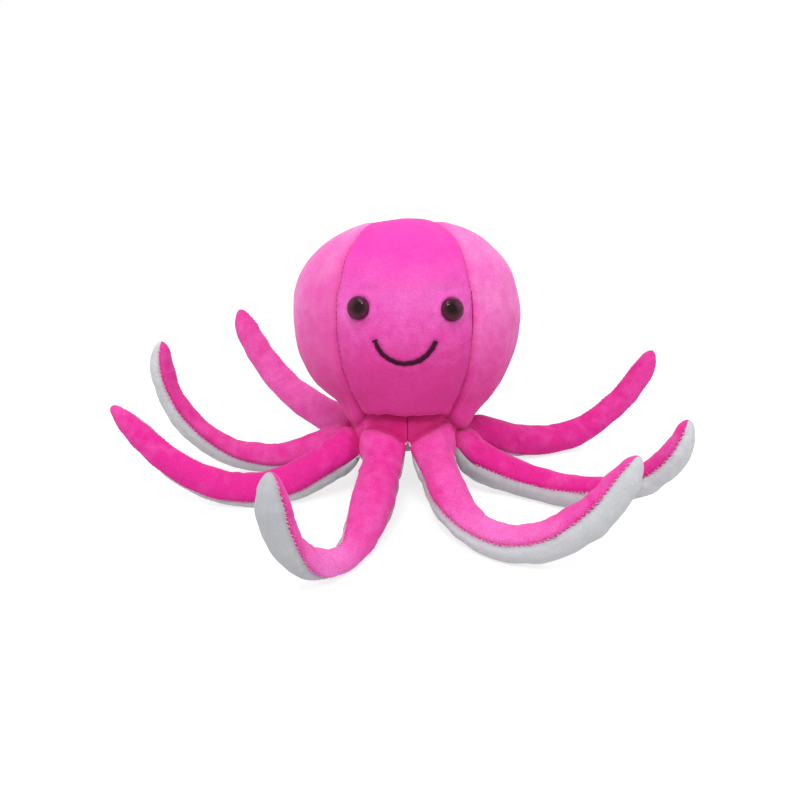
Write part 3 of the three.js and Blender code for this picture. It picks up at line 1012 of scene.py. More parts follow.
@dataclass
class Head:
    """The ball head of five sewn panels, its eyes and its smile.

    Its surface is worked out along the head's own axis from the hinge that it nods about.
    """

    trunk_tilt: float
    radius: float = 72 * MM
    neck_radius: float = 37 * MM
    equator_height: float = 67 * MM
    crown_height: float = 58 * MM
    crown_squareness: float = 0.9
    pole_radius: float = 0.5 * MM
    neck_rise: float = 13 * MM
    blend_length: float = 26 * MM
    lean: float = 22.0
    turn: float = -2.0
    front_angle: float = 70.0
    front_neck_angle: float = 88.0
    crown_pinch: float = 0.19
    pole_lean: float = 12.0
    skin: float = 1.4 * MM
    seam_dip: float = 2 * MM
    seam_dip_start: float = 20 * MM
    seam_dip_span: float = 60 * MM
    groove_depth: float = 1.2 * MM
    groove_width: float = 1.7 * MM
    groove_full: float = 65 * MM
    seam_roll: Fold = Fold(-0.35 * MM, 2.0 * MM, 4.2 * MM)
    seam_pucker: Fold = Fold(0.28 * MM, 3.2 * MM)
    seam_gather: Fold = Fold(0.8 * MM, 9 * MM)
    gather_size: float = 13 * MM
    neck_gather: float = 0.9 * MM
    neck_gather_reach: float = 10 * MM
    neck_folds: tuple[Fold, ...] = (Fold(3.0 * MM, 2.4 * MM), Fold(-0.7 * MM, 3.2 * MM, 6.5 * MM))
    pole_dip: Fold = Fold(1.2 * MM, 6 * MM)
    lumps: tuple[Lumps, ...] = (Lumps(38 * MM, 0.7 * MM, 5), Lumps(15 * MM, 0.22 * MM, 6))
    tuck_bearing: float = -84.0
    tuck_depth: float = 4.5 * MM
    tuck_half_angle: float = 42.0
    tuck_height: float = 8 * MM
    tuck_reach: float = 17 * MM
    hem_drop: float = 6.0 * MM
    hem_half_angle: float = 32.0
    hem_reach: float = 5 * MM
    chin_drop: float = 1.9 * MM
    chin_reach: float = 28 * MM
    flap_drop: float = 8.0 * MM
    flap_puff: float = 1.1 * MM
    flap_bearings: tuple[float, float] = (-57.0, 60.0)
    flap_half_angle: float = 19.0
    flap_soft_angle: float = 14.0
    flap_reach: float = 8 * MM
    rest_height: float = 12.4 * MM
    rest_softness: float = 1.6 * MM
    rest_start: float = -12 * MM
    rest_blend: float = 18 * MM
    stitch_pitch: float = 3.5 * MM
    stitch_half: float = 1.15 * MM
    stitch_lift: float = 0.12 * MM
    eye_radius: float = 6.75 * MM
    eye_dome: float = 4.6 * MM
    eye_rim: float = 0.8 * MM
    eye_fillet: float = 0.12 * MM
    eye_seat: float = 0.4 * MM
    eye_facets: int = 56
    eye_steps: int = 14
    eye_folds: tuple[Fold, ...] = (
        Fold(0.9 * MM, 15 * MM),
        Fold(-1.5 * MM, 1.8 * MM, 7.6 * MM),
        Fold(0.5 * MM, 6.0 * MM),
    )
    eye_rays: Fold = Fold(0.45 * MM, 3.4 * MM, 10 * MM)
    eye_shade: Fold = Fold(0.95, 0.9 * MM, 5.9 * MM)
    gaze: float = math.radians(20.0)
    eye_spacing: float = 53 * MM
    eye_heights: tuple[float, float] = (61.2 * MM, 60.2 * MM)
    stem_radius: float = 1.8 * MM
    stem_length: float = 9 * MM
    stem_tip: float = 0.6 * MM
    face_shift: float = 0.8 * MM
    mouth_radius: float = 18 * MM
    mouth_half_angle: float = 71.5
    mouth_lowest: float = 29.8 * MM
    mouth_width: float = 3.2 * MM
    mouth_stitch_count: int = 76
    mouth_slant: float = 0.2
    mouth_folds: tuple[Fold, ...] = (Fold(0.8 * MM, 1.7 * MM), Fold(-0.3 * MM, 2.2 * MM, 4 * MM))
    mouth_shade: Fold = Fold(0.5, 1.5 * MM)
    side_shades: dict[int, float] = field(default_factory=lambda: {1: 0.15, 4: 0.6})
    side_shade_reach: float = 32 * MM
    side_painted_sheen: dict[int, float] = field(default_factory=lambda: {4: 0.6})
    rows: int = 132
    columns: int = 66
    stuffing: Stuffing = field(default_factory=lambda: Stuffing(pressure=4.0, slack=0.03, most=2.6 * MM))
    stuffing_grid: tuple[int, int] = (45, 14)
    stuffing_inset: float = 0.6 * MM
    names: tuple[str, ...] = ("front", "right", "back_right", "back_left", "left")
    nodes: tuple[str, ...] = (
        "head_front_panel",
        "head_side_panel_right",
        "head_back_panel_right",
        "head_back_panel_left",
        "head_side_panel_left",
    )

    def __post_init__(self) -> None:
        """Works out the angles at the neck and the pole, and the hinge's place."""
        self.pivot = np.array(HEAD_HINGE)
        self.neck_angle = math.degrees(math.acos(self.neck_radius / self.radius))
        self.lower_height = self.equator_height / math.sin(math.radians(self.neck_angle))
        pole_share = (self.pole_radius / self.radius) ** (1.0 / self.crown_squareness)
        self.pole_angle = math.degrees(math.acos(pole_share))
        self.equator_rise = self.neck_angle / (self.neck_angle + self.pole_angle)
        self.swell: list[Array] = []

    def place(self, points: Array) -> Array:
        """Brings points of the head's own frame into the part's frame."""
        spun = turned(points, (0, 0, 1), self.turn)
        return turned(spun, (1, 0, 0), -self.lean) + self.pivot

    def aim(self, ways: Array) -> Array:
        """Brings directions of the head's own frame into the part's frame."""
        return self.place(ways) - self.pivot

    def blend_ends(self) -> tuple[Array, Array]:
        """Where the fabric starts to follow the head and where it follows it fully."""
        heights = (self.neck_rise, self.neck_rise + self.blend_length)
        return tuple(self.place(UP * height) for height in heights)

    def surface(self, turn: Array, angle: Array, depth: Array) -> Array:
        """Points of the head in its own frame.

        Args:
            turn: The bearing from the front, in radians.
            angle: The angle up the profile, in radians, 0 at the equator.
            depth: How far the points lie under the fabric's plain shape.

        Returns:
            The points.
        """
        low = angle < 0.0
        cos = np.maximum(np.cos(angle), 0.0)
        sin = np.sin(angle)
        power = self.crown_squareness
        r = np.where(low, self.radius * cos, self.radius * cos**power)
        z = np.where(low, self.lower_height * sin, self.crown_height * np.abs(sin) ** power)
        scale = 1.0 - depth / self.radius
        height = self.neck_rise + self.equator_height + scale * z
        return np.stack([scale * r * np.sin(turn), -scale * r * np.cos(turn), height], -1)

    def bearings(self, panel: int, rise: Array) -> tuple[Array, Array]:
        """The bearings of a panel's two seams.

        Args:
            panel: The panel's number, 0 in front and on to the right.
            rise: Shares of the way from the neck to the pole.

        Returns:
            The bearings of its left and its right seam.
        """
        front = self.front_neck_angle + (self.front_angle - self.front_neck_angle) * np.minimum(
            rise / self.equator_rise, 1.0
        )
        above = np.clip((rise - self.equator_rise) / (1.0 - self.equator_rise), 0.0, 1.0)
        front = front * (1.0 - self.crown_pinch * np.sqrt(above))
        if panel == 0:
            return -front / 2.0, front / 2.0
        other = (360.0 - front) / (len(self.names) - 1)
        return front / 2.0 + (panel - 1) * other, front / 2.0 + panel * other

    def angles(self, bearing: Array, rise: Array) -> tuple[Array, Array]:
        """Where points of the panels' layout lie on the head, whose pole leans.

        Args:
            bearing: Their bearings in the layout, in degrees.
            rise: Their shares of the way from the neck to the pole.

        Returns:
            Their bearings and their angles up the profile, in radians.
        """
        way = direction(bearing, -self.neck_angle + (self.neck_angle + self.pole_angle) * rise)
        way = turned(way, (1, 0, 0), -self.pole_lean * rise)
        return np.arctan2(way[..., 0], -way[..., 1]), np.arcsin(np.clip(way[..., 2], -1.0, 1.0))

    def front_point(self, x: Array, height: Array, depth: Array | float = 0.0) -> Array:
        """Where the front panel's plain shape lies.

        Args:
            x: The distance to the right.
            height: The height over the neck.
            depth: How far under that shape the point is wanted.

        Returns:
            The points in the head's own frame.
        """
        angle = np.arcsin((height - self.equator_height) / self.lower_height)
        turn = np.arcsin(x / (self.radius * np.cos(angle)))
        rise = (np.degrees(angle) + self.neck_angle) / (self.neck_angle + self.pole_angle)
        half = np.radians(self.bearings(0, rise)[1])
        pull = self.seam_dip * np.abs(turn / half) ** 4
        return self.surface(turn, angle, pull + depth)

    def lift(self, points: Array) -> Array:
        """How far the fabric stands over some points of the front panel's plain shape."""
        rise, share = (a.reshape(-1) for a in np.meshgrid(np.linspace(0, 1, 120), np.linspace(0, 1, 60)))
        start, end = self.bearings(0, rise)
        turn, angle = self.angles(start + (end - start) * share, rise)
        grid = self.surface(turn, angle, np.zeros_like(turn))
        flat = np.atleast_2d(points)
        nearest = np.linalg.norm(flat[:, None] - grid[None], axis=-1).argmin(-1)
        return self._swell_at(0, rise[nearest], share[nearest])

    def front_normal(self, x: Array, height: Array) -> Array:
        """The way off the front panel at a distance to the right and a height over the neck."""
        step = self.skin
        across = self.front_point(x + step, height) - self.front_point(x - step, height)
        up = self.front_point(x, height + step) - self.front_point(x, height - step)
        return unit(np.cross(across, up))

    def eye_places(self) -> list[tuple[str, float, float]]:
        """Each eye's side, its distance to the right and its height over the neck."""
        half = self.eye_spacing / 2.0
        left, right = self.eye_heights
        return [("left", self.face_shift - half, left), ("right", self.face_shift + half, right)]

    def mouth_line(self, count: int) -> tuple[Array, Array]:
        """The smile's distances to the right and heights over the neck at evenly spaced places."""
        angle = np.radians(np.linspace(-self.mouth_half_angle, self.mouth_half_angle, count))
        x = self.face_shift + self.mouth_radius * np.sin(angle)
        return x, self.mouth_lowest + self.mouth_radius * (1.0 - np.cos(angle))

    def plain_depth(self, share: Array) -> Array:
        """How far the seams draw the fabric in, at shares of the way across a panel."""
        return self.seam_dip * np.abs(2.0 * share - 1.0) ** 4

    def stuff(self) -> None:
        """Fills the head by a cloth simulation and keeps how far each panel swells."""
        rows, columns = self.stuffing_grid
        rise = np.linspace(0.0, 1.0, rows)[:, None]
        rings, grips = [], []
        for panel in range(len(self.names)):
            start, end = self.bearings(panel, rise)
            share = np.arange(columns)[None, :] / columns
            turn, angle = self.angles(start + (end - start) * share, rise + 0.0 * share)
            rings.append(self.surface(turn, angle, self.plain_depth(share) + self.stuffing_inset))
            grip = np.where(share == 0.0, 1.0, 0.0) + 0.0 * rise
            grip[0] = 1.0
            grip[-1] = 1.0
            grips.append(grip)
        tube = np.concatenate(rings, axis=1)
        move = self.stuffing.moves([tube], [np.concatenate(grips, axis=1)])[0]
        middle = UP * (self.neck_rise + self.equator_height)
        out = levelled((move * unit(tube - middle)).sum(-1))
        for panel in range(len(self.names)):
            columns_here = np.arange(panel * columns, (panel + 1) * columns + 1) % out.shape[1]
            self.swell.append(out[:, columns_here])

    def _swell_at(self, panel: int, rise: Array, share: Array) -> Array:
        """Reads how far a panel swells between its simulated points.

        Args:
            panel: The panel's number.
            rise: Shares of the way up.
            share: Shares of the way across.

        Returns:
            The swelling at each point.
        """
        table = self.swell[panel]
        row = rise * (table.shape[0] - 1)
        column = share * (table.shape[1] - 1)
        i = np.clip(row.astype(int), 0, table.shape[0] - 2)
        j = np.clip(column.astype(int), 0, table.shape[1] - 2)
        a = ease(row - i)
        b = ease(column - j)
        low = table[i, j] * (1 - b) + table[i, j + 1] * b
        high = table[i + 1, j] * (1 - b) + table[i + 1, j + 1] * b
        return low * (1 - a) + high * a

    def panel(self, index: int) -> Skin:
        """Works out one panel's fabric, with its seams, puckers and dimples, and its painted shade and sheen.

        Args:
            index: The panel's number, 0 in front and on to the right.

        Returns:
            The panel in the part's frame.
        """
        rise = np.linspace(0.0, 1.0, self.rows)[:, None] + np.zeros((1, self.columns))
        edge = 0.5 - 0.5 * np.cos(np.linspace(0.0, math.pi, self.columns))
        share = 0.6 * edge + 0.4 * np.linspace(0.0, 1.0, self.columns)
        share = share[None, :] + np.zeros((self.rows, 1))
        start, end = self.bearings(index, rise)
        turn, angle = self.angles(start + (end - start) * share, rise)
        level = np.maximum(np.cos(angle), 0.0)
        width = self.radius * level * np.radians(end - start)
        up = self.radius * np.radians(self.neck_angle + self.pole_angle) * rise
        from_seam = np.minimum(share, 1.0 - share) * width
        plain = self.surface(turn, angle, np.zeros_like(turn))
        to_pole = self.radius * np.radians(self.pole_angle + self.neck_angle) * (1.0 - rise)
        drawn = ease((to_pole - self.seam_dip_start) / self.seam_dip_span)
        depth = self.plain_depth(share) * (0.1 + 0.9 * drawn)
        depth -= self._swell_at(index, rise, share)
        groove = hump(from_seam, self.groove_width)
        fade = ease(rise / 0.03) * ease((1.0 - rise) / 0.05)
        depth += fade * self.groove_depth * groove * (0.2 + 0.8 * ease(to_pole / self.groove_full))
        pucker = np.cos(math.tau * up / self.stitch_pitch)
        depth += fade * (self.seam_roll.at(from_seam) + pucker * self.seam_pucker.at(from_seam))
        cloth = np.stack([turn * self.radius, 0.25 * up, 0 * up], -1)
        gather = Lumps(self.gather_size, 1.0, 31 + index).at(cloth)
        depth += gather * self.seam_gather.at(from_seam) * fade * ease((to_pole - 10 * MM) / (60 * MM))
        depth += gather * self.neck_gather * np.exp(-up / self.neck_gather_reach)
        depth += sum(fold.at(up) for fold in self.neck_folds) + self.pole_dip.at(to_pole)
        depth -= sum(lumps.at(plain) for lumps in self.lumps)
        tuck = hump(np.degrees(turn) - self.tuck_bearing, self.tuck_half_angle)
        depth += self.tuck_depth * tuck * hump(up - self.tuck_height, self.tuck_reach)
        # Painted shade in the seams' grooves, along the neck edge under the head's overhang and round the
        # pole.
        hollow = 0.25 * groove * fade + 0.7 * hump(up, 2.2 * MM) + 0.5 * hump(to_pole, 5 * MM)
        # Painted shade on the lower part of the side panels, beside the front panel.
        if index in self.side_shades:
            from_front = width * (share if index == 1 else 1.0 - share)
            shade = ease((0.72 - rise) / 0.4) * hump(from_front, self.side_shade_reach)
            hollow += self.side_shades[index] * shade
        if index == 0:
            depth, hollow = self._face(plain, depth, hollow)
        # Painted sheen: the upper part of the left side panel is paler.
        brushed = self.side_painted_sheen.get(index, 0.0) * ease((rise - 0.55) / 0.2)
        points = self.surface(turn, angle, depth)
        points = self._rest_on_arms(self.place(self._sag(points, turn, up)))
        return Skin(points, np.clip(hollow, 0.0, 1.0), brushed)

    def _sag(self, points: Array, turn: Array, up: Array) -> Array:
        """Lets the front hang over the neck seam, folds flaps down beside it and tucks the left edge in.

        Args:
            points: The panel's points in the head's own frame, which are moved.
            turn: Their bearings from the front, in radians.
            up: How far they lie from the neck's edge, along the fabric.

        Returns:
            The points in their new places.
        """
        bearing = np.degrees(turn)
        facing = ease((np.cos(turn) + 0.2) / 0.6)
        chin = self.chin_drop * ease(1.0 - up / self.chin_reach) * facing
        beside = np.minimum(*[np.abs(bearing - middle) for middle in self.flap_bearings])
        flap = ease((self.flap_half_angle - beside) / self.flap_soft_angle) * hump(up, self.flap_reach)
        hem = hump(bearing - self.tuck_bearing, self.hem_half_angle) * hump(up, self.hem_reach)
        points[..., 2] -= chin + np.maximum(self.flap_drop * flap, self.hem_drop * hem)
        return points + direction(bearing) * (self.flap_puff * flap)[..., None]

    def _face(self, plain: Array, depth: Array, hollow: Array) -> tuple[Array, Array]:
        """Draws the front panel in round the eyes and along the smile, and paints shade there.

        Args:
            plain: The panel's plain shape.
            depth: How far its points lie under that shape.
            hollow: How much painted shade darkens them.

        Returns:
            The new depths and painted shade.
        """
        for side, x, eye_height in self.eye_places():
            seat = self.front_point(np.array(x), np.array(eye_height))
            away = np.linalg.norm(plain - seat, axis=-1)
            around = np.arctan2(plain[..., 2] - seat[2], plain[..., 0] - seat[0])
            rays = 0.5 + 0.5 * np.cos(around * 7.0 + 2.0 * np.sin(around * 2.0 + len(side)))
            depth = depth + sum(fold.at(away) for fold in self.eye_folds) + rays * self.eye_rays.at(away)
            # Painted shade in a ring round each eye.
            hollow = hollow + self.eye_shade.at(away)
        x, height = self.mouth_line(48)
        line = self.front_point(x, height)
        away = np.linalg.norm(plain[..., None, :] - line, axis=-1).min(-1)
        depth = depth + sum(fold.at(away) for fold in self.mouth_folds)
        # Painted shade along the smile.
        return depth, hollow + self.mouth_shade.at(away)

    def _rest_on_arms(self, points: Array) -> Array:
        """Flattens the lower back of the head where it lies on the arms' roots."""
        level = turned(points - self.pivot, (1, 0, 0), self.trunk_tilt)
        over = (level[..., 2] - self.rest_height) / self.rest_softness
        lifted = self.rest_height + self.rest_softness * np.logaddexp(0.0, over)
        keep = ease((level[..., 1] - self.rest_start) / self.rest_blend)
        level[..., 2] = level[..., 2] * (1.0 - keep) + lifted * keep
        return turned(level, (1, 0, 0), -self.trunk_tilt) + self.pivot

    def seam_stitches(self) -> StitchPath:
        """The stitches that show along the panels' seams."""
        paths = []
        for index in range(len(self.names)):
            path = StitchPath.beside(self.panel(index), slice(5, -6), 0, self.stitch_pitch, self.stitch_half)
            path.points = path.points + path.out * self.stitch_lift
            paths.append(path)
        return StitchPath.joined(paths)

    def mouth_stitches(self) -> StitchPath:
        """The satin stitches of the smile, which lie side by side across its line."""
        count = self.mouth_stitch_count
        x, height = self.mouth_line(count)
        points = self.front_point(x, height, -0.25 * MM)
        out = self.front_normal(x, height)
        points = points + out * self.lift(points)[:, None]
        along = unit(np.gradient(points, axis=0))
        across = unit(np.cross(out, along))
        share = np.linspace(0.0, 1.0, count)
        half = 0.5 * self.mouth_width * (0.94 + 0.16 * share)
        half *= np.minimum(1.0, 0.6 + 6.0 * share)
        wander = 0.12 * MM * np.sin(share * 61.0) + 0.08 * MM * np.sin(share * 23.0 + 1.0)
        points = points + across * wander[:, None]
        tick = points[:1] + across[:1] * np.linspace(-1.4, 1.0, 4)[:, None] * MM - along[:1] * 0.4 * MM
        slant = self.mouth_slant * np.where(np.arange(count) % 2 == 0, 1.0, -0.4)[:, None]
        path = StitchPath(points, unit(across + slant * along), out, half)
        ends = StitchPath(tick, np.repeat(along[:1], 4, 0), np.repeat(out[:1], 4, 0), np.full(4, 0.7 * MM))
        joined = StitchPath.joined([path, ends])
        joined.points = self.place(joined.points)
        joined.along, joined.out = self.aim(joined.along), self.aim(joined.out)
        return joined

    def eye(self, side: str, x: float, height: float) -> Object:
        """Makes one domed eye on its stem.

        Args:
            side: left or right.
            x: Its distance to the right.
            height: Its height over the neck.

        Returns:
            The eye, with its finish.
        """
        spot = self.front_point(np.array(x), np.array(height))
        out = self.front_normal(np.array(x), np.array(height))
        spot = self.place(spot + out * self.lift(spot)[0])
        way = Vector(self.aim(out))
        stand = Matrix.Translation(Vector(spot)) @ way.to_track_quat("Z", "Y").to_matrix().to_4x4()
        seat, stem = self.eye_seat, self.stem_radius
        profile = [(0.0, -self.stem_length), (stem * 0.7, -self.stem_length)]
        profile += [(stem, self.stem_tip - self.stem_length), (stem, seat)]
        profile += [(self.eye_radius * 0.97, seat), (self.eye_radius, seat + self.eye_fillet)]
        for step in range(self.eye_steps):
            angle = math.radians(90.0 * step / self.eye_steps)
            rise = self.eye_rim + (self.eye_dome - self.eye_rim) * math.sin(angle) ** 0.95
            profile.append((self.eye_radius * math.cos(angle) ** 0.9, seat + rise))
        profile.append((0.0, seat + self.eye_dome))
        made = lathe(f"{side}_eye_dome", profile, self.eye_facets, stand)
        ahead = Vector((0.0, -math.cos(self.gaze), math.sin(self.gaze)))
        made.data.materials.append(EYE_PLASTIC.build(Vector(spot) + ahead * self.eye_dome))
        return made

    def build(self, fabrics: dict[Slot, Material], front: Material) -> None:
        """Makes the head's pieces, hides the parts that they replace and hangs the eyes and the smile on the
        head.

        Args:
            fabrics: The plush material of each slot.
            front: The front panel's material.
        """
        self.stuff()
        start, end = self.blend_ends()
        for index, (name, node) in enumerate(zip(self.names, self.nodes)):
            made = self.panel(index).piece(f"head_{name}_fabric", self.skin)
            made.data.materials.append(front if index == 0 else fabrics[Slot.SIDE])
            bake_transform(made)
            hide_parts(node, *(["head_filling"] if index == 0 else []))
            log.info("%s: %d faces", made.name, len(made.data.polygons))
        for side, x, height in self.eye_places():
            made = self.eye(side, x, height)
            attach(made, "head")
            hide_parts(f"{side}_eye")
            log.info("%s", made.name)
        self._sew()

    def _sew(self) -> None:
        """Sews the seams and the smile."""
        tree = stitch_tree()
        thread = SEAM_THREAD.build()
        values = {"Thread Radius": 0.32 * MM, "Jitter": 0.12, "Seed": 3, "Material": thread}
        seams = tree.apply(self.seam_stitches().carrier(), "head_seam_thread", values)
        start, end = self.blend_ends()
        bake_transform(seams)
        dark = MOUTH_THREAD.build()
        values = {"Thread Radius": 0.52 * MM, "Jitter": 0.12, "Seed": 8, "Material": dark}
        smile = tree.apply(self.mouth_stitches().carrier(), "smile_thread", values)
        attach(smile, "head")
        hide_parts("mouth_stitching")
        log.info("%s and %s", seams.name, smile.name)


# Trunk


@dataclass(frozen=True)
class Trunk:
    """The soft trunk that the head and arms are sewn to: a pink ball that ends in a shallow white foot."""

    ball_radius: float = 36.0 * MM
    low_edge: float = 14.0
    high_edge: float = 50.0
    tilt: float = 8.0
    skin: float = 1.4 * MM
    flat_radius: float = 9 * MM
    foot_radius: float = 17 * MM
    foot_edge: float = 19.0
    foot_puff: float = 1.2 * MM
    notch_rise: float = 0.5
    front_notch_rise: float = 9.0
    left_notch_drop: float = 9.0
    left_notch_bearing: float = -45.0
    left_notch_half_angle: float = 14.0
    liner_depth: float = 3.5 * MM
    wrinkles: Lumps = Lumps(14 * MM, 0.3 * MM, 71)

    def notch_angle(self, bearing: Array) -> Array:
        """How high the notches between the arms lie on the ball: high in front, low beside the left arm."""
        front = self.front_notch_rise * np.maximum(np.cos(np.radians(bearing)), 0.0) ** 4
        left = hump(bearing - self.left_notch_bearing, self.left_notch_half_angle)
        return self.notch_rise + front - self.left_notch_drop * left

    def ball(self, bearing: Array, angle: Array) -> Array:
        """Points of the ball at bearings from the front and at angles over the arms' ring, in degrees."""
        level = direction(bearing, angle) * self.ball_radius
        return turned(level, (1, 0, 0), -self.tilt) + np.array(HEAD_HINGE)

    def foot(self, bearing: Array, radius: Array | float) -> Array:
        """Points of the foot, which rises from its flat middle to the ball's low edge.

        Args:
            bearing: The bearings from the front.
            radius: How far the points lie from the middle.

        Returns:
            The points.
        """
        rim = self.ball(bearing, self.foot_edge)
        width = np.linalg.norm(rim[..., :2], axis=-1)
        share = np.clip((radius - self.flat_radius) / (width - self.flat_radius), 0.0, 1.0)
        rise = rim[..., 2] * share - self.foot_puff * np.sin(math.pi * share)
        turn = np.radians(bearing)
        height = np.maximum(rise, 0.0) + 0.0 * turn
        return np.stack([radius * np.sin(turn), -radius * np.cos(turn), height], -1)

    def build(self, fabrics: dict[Slot, Material]) -> None:
        """Makes the trunk's pieces, hangs them on the trunk and hides the parts that they replace."""
        bearing = np.linspace(0.0, 360.0, 129)[None, :]
        angle = np.linspace(self.low_edge, self.high_edge, 24)[:, None]
        # Painted shade: the ball under the head is darkened evenly.
        ball = Skin(self.ball(bearing, angle), 0.25 + 0.0 * bearing + 0.0 * angle)
        ball = ball.sunk(self.liner_depth + self.wrinkles.at(ball.points))
        share = np.linspace(1.0, 0.0, 30)[:, None]
        radius = share * self.foot_radius + 0.0 * bearing + 0.05 * MM
        # Painted shade on the foot, darkest in its middle.
        foot = Skin(self.foot(bearing, radius)[::-1], 0.3 * share + 0.0 * bearing)
        pieces = (
            (ball, "pink", Slot.PINK, ("trunk_top", "trunk_filling")),
            (foot, "white", Slot.WHITE, ("trunk_base",)),
        )
        for skin, colour, slot, nodes in pieces:
            made = skin.piece(f"trunk_{colour}_fabric", self.skin)
            made.data.materials.append(fabrics[slot])
            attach(made, "trunk")
            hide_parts(*nodes)
        log.info("trunk")


# Arms


@dataclass
class Arm:
    """One stuffed arm, sewn from a pink top and a white underside, as it was laid down.

    Args:
        trunk: The trunk that it is sewn to.
        name: The arm's body in the frame.
        heading: Degrees from the front, 0, to the right, 90, at equal steps from the root to the tip.
        climb: Degrees above the level, at the same steps.
        roll: Degrees that the seams turn about the arm, at equal steps.
        seed: Fixes where the arm's lumps and folds lie.
        width_shares: The arm's radius as shares of the root's, at equal steps.
        brushed: Where a stretch of painted sheen lies, as a share of the length, over what reach, and how
            strong it is; below 0 the stretch is darker, a painted shade.
        shade: How much painted shade darkens the underside, from 0 to 1.
    """

    trunk: Trunk
    name: str
    heading: tuple[float, ...]
    climb: tuple[float, ...]
    roll: tuple[float, ...]
    seed: int
    length: float = 180 * MM
    root_radius: float = 12 * MM
    width_shares: tuple[float, ...] = (1.0, 0.98, 0.86, 0.75, 0.68, 0.6)
    brushed: tuple[float, float, float] = (0.6, 0.15, 0.0)
    shade: float = 0.0
    tip_share: float = 0.11
    skin: float = 1.3 * MM
    floor_flat: float = 0.5 * MM
    stations: int = 190
    columns: int = 30
    root_rows: int = 26
    root_reach: float = 17 * MM
    neck_radius: float = 34.5 * MM
    neck_rise: float = 15 * MM
    neck_lean: float = 14.0
    rest_height: float = 12.0 * MM
    band_rows: int = 10
    band_least: float = 2.5
    crease_rise: float = 14.0
    crease_tilt: float = 13.0
    crease_recess: float = 1.4 * MM
    corner_sharpness: float = 5.0
    front_sharpness: float = 8.0
    band_seam: Fold = Fold(0.2 * MM, 0.05)
    foot_radius: float = 14 * MM
    under_radius: float = 25 * MM
    wedge: float = 22.5
    front_half_angle: float = 45.0
    groove_depth: float = 0.75 * MM
    groove_width: float = 1.5 * MM
    seam_roll: Fold = Fold(-0.25 * MM, 1.8 * MM, 3.6 * MM)
    seam_pucker: Fold = Fold(0.22 * MM, 2.6 * MM)
    pucker_pitch: float = 3.2 * MM
    fold_pitch: float = 10.5 * MM
    fold_depth: float = 1.5 * MM
    fold_puff: float = 0.35 * MM
    ripple_pitch: float = 7.4 * MM
    ripple_depth: float = 0.4 * MM
    ripple_puff: float = 0.1 * MM
    loose_size: float = 22 * MM
    root_crease: float = 0.9 * MM
    root_lump_size: float = 12 * MM
    root_lump_height: float = 0.7 * MM
    seam_pitch: float = 2.7 * MM
    seam_stitch_half: float = 1.25 * MM
    blend_before: float = 6 * MM
    blend_after: float = 30 * MM
    fibre_clear: float = 1.5 * MM
    fibre_density: float = 2.2e6
    fibre_length: float = 2.1 * MM
    fibre_thickness: float = 0.075 * MM
    fibre_lean: float = 0.95
    swell: Array | None = field(default=None, repr=False)
    patch_end: int = 0

    def __post_init__(self) -> None:
        """Works out the arm's centre line, its directions and its widths."""
        joint = JOINTS[self.name.replace("arm_", "") + "_lift"]
        self.root = np.array(joint["pos_m"])
        self.pivot = np.array(HEAD_HINGE)
        self.bearing = math.degrees(math.atan2(self.root[0], -self.root[1]))
        self.in_front = abs(self.bearing) < self.front_half_angle
        share = np.linspace(0.0, 1.0, self.stations)
        heading, climb, roll = (self._read(t, share) for t in (self.heading, self.climb, self.roll))
        forward = direction(heading, climb)
        right = np.stack([np.cos(np.radians(heading)), np.sin(np.radians(heading)), 0.0 * heading], -1)
        up = np.cross(forward, right)
        right, up = turned(right, forward, roll), turned(up, forward, roll)
        steps = 0.5 * (forward[1:] + forward[:-1]) * (self.length / (self.stations - 1))
        line = np.concatenate([np.zeros((1, 3)), np.cumsum(steps, axis=0)])
        self.share = share
        self.radius = self._widths(share)
        axis = (-math.cos(math.radians(heading[0])), -math.sin(math.radians(heading[0])), 0.0)
        angle = self._settling(line, forward, axis)
        self.line = turned(line, axis, angle) + self.root
        self.forward, self.right, self.up = (turned(v, axis, angle) for v in (forward, right, up))
        bend = np.gradient(self.forward, axis=0) / (self.length / (self.stations - 1))
        kernel = np.hanning(15) / np.hanning(15).sum()
        self.bend = np.stack([np.convolve(bend[:, k], kernel, "same") for k in range(3)], -1)

    @staticmethod
    def _read(table: Sequence[float], share: Array) -> Array:
        """A table's values at shares of the arm's length, with the corners between its steps rounded."""
        reach = 0.07
        spots = np.linspace(-reach, reach, 9)
        grid = np.linspace(0.0, 1.0, len(table))
        return np.mean([np.interp(np.clip(share + s, 0, 1), grid, table) for s in spots], axis=0)

    def _widths(self, share: Array) -> Array:
        """The arm's radius at shares of its length, round at the tip."""
        plain = self.root_radius * self._read(self.width_shares, share)
        over = np.clip((share - 1.0 + self.tip_share) / self.tip_share, 0.0, 1.0)
        return plain * np.maximum(1.0 - over**2.1, 0.002) ** 0.55

    def _settling(self, line: Array, forward: Array, axis: Sequence[float]) -> float:
        """The angle about the root at which the floor just flattens the arm's lowest stretch."""
        floor = FLOOR_HEIGHT - self.floor_flat
        low, high = -20.0, 20.0
        for _ in range(40):
            middle = 0.5 * (low + high)
            way = turned(forward, axis, middle)
            height = self.root[2] + turned(line, axis, middle)[:, 2]
            lowest = (height - self.radius * np.hypot(way[:, 0], way[:, 1])).min()
            low, high = (middle, high) if lowest < floor else (low, middle)
        return high

    def _ring(self, side: int, angle: Array, radius: Array) -> Array:
        """Points round the arm's stations, over the seams for side 1 and under them for side -1."""
        wide = (radius * np.cos(angle) * side)[..., None]
        high = (radius * np.sin(angle) * side)[..., None]
        return self.line[:, None] + self.right[:, None] * wide + self.up[:, None] * high

